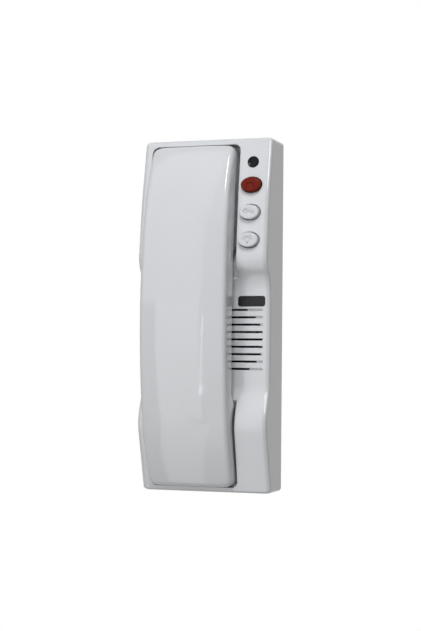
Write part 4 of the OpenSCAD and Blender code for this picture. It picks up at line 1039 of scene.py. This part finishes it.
# Height, hole radius, ring radius and number of holes of each ring of sound holes
SOUND_RINGS = [(RECEIVER_Y, 1, 0, 1), (RECEIVER_Y, 1, 4, 6), (RECEIVER_Y, 1, 8, 12),
               (MICROPHONE_Y, 0.8, 0, 1), (MICROPHONE_Y, 0.8, 3, 3)]


def sound_hole(x, y, radius):
    """Cutter for one sound hole with an opened rim."""
    steps = [(0, COVER_CUT_LOW), (radius + SOUND_RIM, COVER_CUT_LOW), (radius + SOUND_RIM, 0),
             (radius, SOUND_RIM), (radius, COVER_CUT_HIGH), (0, COVER_CUT_HIGH)]
    return placed(spun(steps), Matrix.Translation((HANDSET_X + x, y, CUP_BACK)))


def hole_ring(y, hole_r, ring_r, count):
    """Cutters for sound holes round a circle."""
    turns = [math.tau * step / count for step in range(count)]
    return [sound_hole(ring_r * math.cos(turn), y + ring_r * math.sin(turn), hole_r) for turn in turns]


def screw_hole(y):
    """Cutter for a screw hole with a sunk seat for its head."""
    steps = [(0, COVER_CUT_LOW), (SEAT_R, COVER_CUT_LOW), (SEAT_R, SEAT_DEPTH),
             (SCREW_HOLE_R, SEAT_DEPTH), (SCREW_HOLE_R, COVER_CUT_HIGH), (0, COVER_CUT_HIGH)]
    return placed(spun(steps), Matrix.Translation((HANDSET_X, y, CUP_BACK)))


def make_cover():
    """The handset's inner cover: a bent sheet with sound holes and screw seats."""
    def ring(inset, rise, spine=False):
        return [Vector((HANDSET_X + (0 if spine else x), y, handset_back(y) + rise))
                for x, y in handset_outline(inset)]
    edge = SHELL_WALL + COVER_GAP
    rings = [ring(edge + COVER_EDGE, 0, spine=True)]
    bend = (COVER_EDGE * COVER_BEND_OUT, COVER_EDGE * COVER_BEND_RISE)
    rings += [ring(edge + COVER_EDGE - out, rise) for out, rise in
              [(0, 0), bend, (COVER_EDGE, COVER_EDGE)]]
    rings += [ring(edge, COVER_T), ring(edge, COVER_T, spine=True)]
    holes = [hole for sound_ring in SOUND_RINGS for hole in hole_ring(*sound_ring)]
    holes += [screw_hole(EAR_SCREW_Y), screw_hole(MOUTH_SCREW_Y)]
    return finished(cut(lofted(rings), joined(holes)), "handset_cover", "handset", "handset",
                    "handset_inner_cover")


CROSS_HALF_W = 0.35
CROSS_DEPTH = 0.8
CROSS_REACH = 0.6
SHANK_TIP = 0.5
HEAD_EDGE = 0.3
SCREW_CROWN = 0.35


def cross_screw(head_r, head_t, shank_r, length):
    """A screw with a crowned, crossed head that faces +z and rests on the origin."""
    crown_r = head_r - HEAD_EDGE
    outline = [(0, -length), (shank_r * SHANK_TIP, -length), (shank_r, -length + shank_r), (shank_r, 0),
               (head_r, 0)]
    outline += arc((crown_r, head_t - HEAD_EDGE), HEAD_EDGE, 0, 90)[:-1] + [(crown_r, head_t)]
    crown_radii = [crown_r * (1 - step / EDGE_STEPS) for step in range(1, EDGE_STEPS + 1)]
    outline += [(radius, head_t + SCREW_CROWN * (1 - (radius / crown_r) ** 2)) for radius in crown_radii]
    high = head_t + 2 * SCREW_CROWN
    low = head_t + SCREW_CROWN - CROSS_DEPTH
    reach = head_r * CROSS_REACH
    arms = [block((-reach, -CROSS_HALF_W, low), (reach, CROSS_HALF_W, high)),
            block((-CROSS_HALF_W, -reach, low), (CROSS_HALF_W, reach, high))]
    return cut(spun(outline), *arms)


HANDSET_HEAD_R = 2.0
HANDSET_HEAD_T = 0.7
HANDSET_SHANK_R = 0.9
HANDSET_SCREW_LENGTH = 8
LOCK_SHANK_R = 1.2
LOCK_HEAD_T = 0.8
LOCK_LENGTH = 8


def make_screws():
    """The handset's two cover screws and the lock screw in the wall unit's lower end."""
    outward = Matrix.Rotation(math.pi, 4, "X")
    seats = [Matrix.Translation((HANDSET_X, y, CUP_BACK + SEAT_DEPTH)) @ outward
             for y in (EAR_SCREW_Y, MOUTH_SCREW_Y)]
    pair = [placed(cross_screw(HANDSET_HEAD_R, HANDSET_HEAD_T, HANDSET_SHANK_R, HANDSET_SCREW_LENGTH), seat)
            for seat in seats]
    finished(joined(pair), "cover_screws", "handset", "steel", "handset_screws")
    downward = Matrix.Rotation(math.pi / 2, 4, "X")
    lock_seat = Matrix.Translation((0, -UNIT_HALF_H + LOCK_RECESS, LOCK_DEPTH)) @ downward
    lock = placed(cross_screw(LOCK_HEAD_R - LOCK_ROOM, LOCK_HEAD_T, LOCK_SHANK_R, LOCK_LENGTH), lock_seat)
    finished(lock, "lock_screw_head", "base", "steel", "lock_screw")


make_housing()
for key_name, key_slot in KEYS.items():
    make_key(key_name, key_slot)
make_light()
make_blank_plate()
make_handset()
make_cover()
make_screws()


# Camera, light and floor

scene = bpy.context.scene
scene.view_settings.view_transform = "Standard"

CAMERA_AIM = Vector((0.00261, -0.025, -0.00030))
CAMERA_DISTANCE = 0.9323
CAMERA_AZIMUTH = math.radians(19.01)
CAMERA_ELEVATION = math.radians(-1.907)
CAMERA_ROLL = math.radians(0.534)
FOCAL_PIXELS = 1495.7
FRAME_HEIGHT_PIXELS = 631
SENSOR = 36.0
CLIP_START = 0.01


def make_camera():
    """The camera at the photograph's viewing angle."""
    lens = bpy.data.cameras.new("camera")
    lens.sensor_width = SENSOR
    lens.lens = FOCAL_PIXELS * SENSOR / FRAME_HEIGHT_PIXELS
    lens.clip_start = CLIP_START
    eye = bpy.data.objects.new("camera", lens)
    turn = Matrix.Rotation(CAMERA_AZIMUTH, 4, "Z") @ Matrix.Rotation(math.pi / 2 - CAMERA_ELEVATION, 4, "X")
    back = turn.col[2].to_3d()
    place = Matrix.Translation(CAMERA_AIM + back * CAMERA_DISTANCE)
    eye.matrix_world = place @ turn @ Matrix.Rotation(CAMERA_ROLL, 4, "Z")
    scene.collection.objects.link(eye)
    scene.camera = eye


OBJECT_MIDDLE = (0.0, -0.03, 0.0)
COOL = (0.955, 0.975, 1.0)


def make_softbox(name, place, size, power, tilt, aim):
    """A rectangular lamp, tilted by an angle in degrees, that faces its aim or else the wall squarely."""
    lamp = bpy.data.lights.new(name, "AREA")
    lamp.shape = "RECTANGLE"
    lamp.size, lamp.size_y = size
    lamp.energy = power
    lamp.color = COOL
    item = bpy.data.objects.new(name, lamp)
    target = Vector(aim or (place[0], 0.0, place[2]))
    facing = (Vector(place) - target).to_track_quat("Z", "Y").to_matrix().to_4x4()
    item.matrix_world = Matrix.Translation(place) @ facing @ Matrix.Rotation(math.radians(tilt), 4, "Z")
    scene.collection.objects.link(item)
    return item


def seen_directly(tree):
    """1 for rays that see the background itself, in a mirror or through glass, and 0 for light."""
    path = add(tree, "ShaderNodeLightPath").outputs
    seen = combined(tree, "MAXIMUM", path["Is Camera Ray"], path["Is Glossy Ray"])
    return combined(tree, "MAXIMUM", seen, path["Is Transmission Ray"])


AMBIENT = (0.117, 0.108, 0.095)
WHITE = (1.0, 1.0, 1.0)


def make_world():
    """White where it is seen, and a soft even light on the object."""
    world = bpy.data.worlds.new("studio")
    world.use_nodes = True
    tree = world.node_tree
    light = tree.nodes["Background"]
    light.inputs["Color"].default_value = opaque(AMBIENT)
    white = add(tree, "ShaderNodeBackground", {"Color": opaque(WHITE), "Strength": 1.0})
    mix = add(tree, "ShaderNodeMixShader", {"Fac": seen_directly(tree),
                                            "Shader": light.outputs["Background"],
                                            "Shader_001": white.outputs["Background"]})
    tree.links.new(mix.outputs["Shader"], tree.nodes["World Output"].inputs["Surface"])
    scene.world = world


FLOOR_HEIGHT = -2.1
FLOOR_SIZE = 8.0
SHADOW_REACH = 1.2
SHADOW_WHITENESS = 0.75
FLOOR_COLOUR = (0.86, 0.86, 0.86)
FLOOR_ROUGHNESS = 0.9


def make_floor():
    """A pale floor at the height of a room's, white where it is seen, with the object's shadow below it."""
    form = bmesh.new()
    bmesh.ops.create_grid(form, x_segments=1, y_segments=1, size=FLOOR_SIZE,
                          matrix=Matrix.Translation((0, 0, FLOOR_HEIGHT)))
    floor = loose_object(form, "floor")
    material, tree, shader, coordinates = new_material("pale floor")
    shader.inputs["Base Color"].default_value = opaque(FLOOR_COLOUR)
    shader.inputs["Roughness"].default_value = FLOOR_ROUGHNESS
    below = add(tree, "ShaderNodeVectorMath", {"Vector": coordinates, "Vector_001": (0, 0, FLOOR_HEIGHT)},
                operation="DISTANCE").outputs["Value"]
    whiteness = mapped(tree, below, 0.0, SHADOW_REACH, to_low=SHADOW_WHITENESS)
    share = combined(tree, "MULTIPLY", seen_directly(tree), whiteness)
    white = add(tree, "ShaderNodeEmission", {"Strength": 1.0})
    mix = add(tree, "ShaderNodeMixShader", {"Fac": share, "Shader": shader.outputs["BSDF"],
                                            "Shader_001": white.outputs["Emission"]})
    tree.links.new(mix.outputs["Shader"], tree.nodes["Material Output"].inputs["Surface"])
    floor.data.materials.append(material)


make_camera()
make_world()
make_floor()

# Name, place, width and height, power, tilt and aim of the lamps in front of the wall
LAMPS = [
    ("left_softbox", (-0.445, -1.14, -0.2), (0.36, 0.6), 1.0, 0, None),
    ("lower_left_softbox", (-0.605, -1.14, -1.2), (0.4, 1.45), 2.3, -15, None),
    ("upper_left_softbox", (-0.87, -1.43, 1.35), (1.1, 2.45), 9.6, 0, None),
    ("right_softbox", (0.28, -1.43, 0.5), (1.2, 3.2), 4.4, 0, None),
    ("key_softbox", (0.24, -1.06, 1.22), (0.38, 0.52), 12.1, 0, OBJECT_MIDDLE),
    ("edge_tube", (-0.313, -1.40, -0.18), (0.012, 0.42), 0.07, -4, None),
    ("lower_right_softbox", (0.05, -1.14, -1.2), (0.9, 1.45), 1.3, -15, None),
    ("edge_spot", (-0.326, -1.40, -0.36), (0.010, 0.040), 0.1, 0, None),
    ("side_softbox", (0.86, -0.89, 0.75), (0.16, 0.25), 1.3, 0, OBJECT_MIDDLE),
]
for lamp_row in LAMPS:
    make_softbox(*lamp_row)
# The lamp behind lights the back and is kept out of reflections
back_fill = make_softbox("back_softbox", (-0.5, 1.3, 1.0), (1.0, 1.0), 15.0, 0, OBJECT_MIDDLE)
back_fill.visible_glossy = False
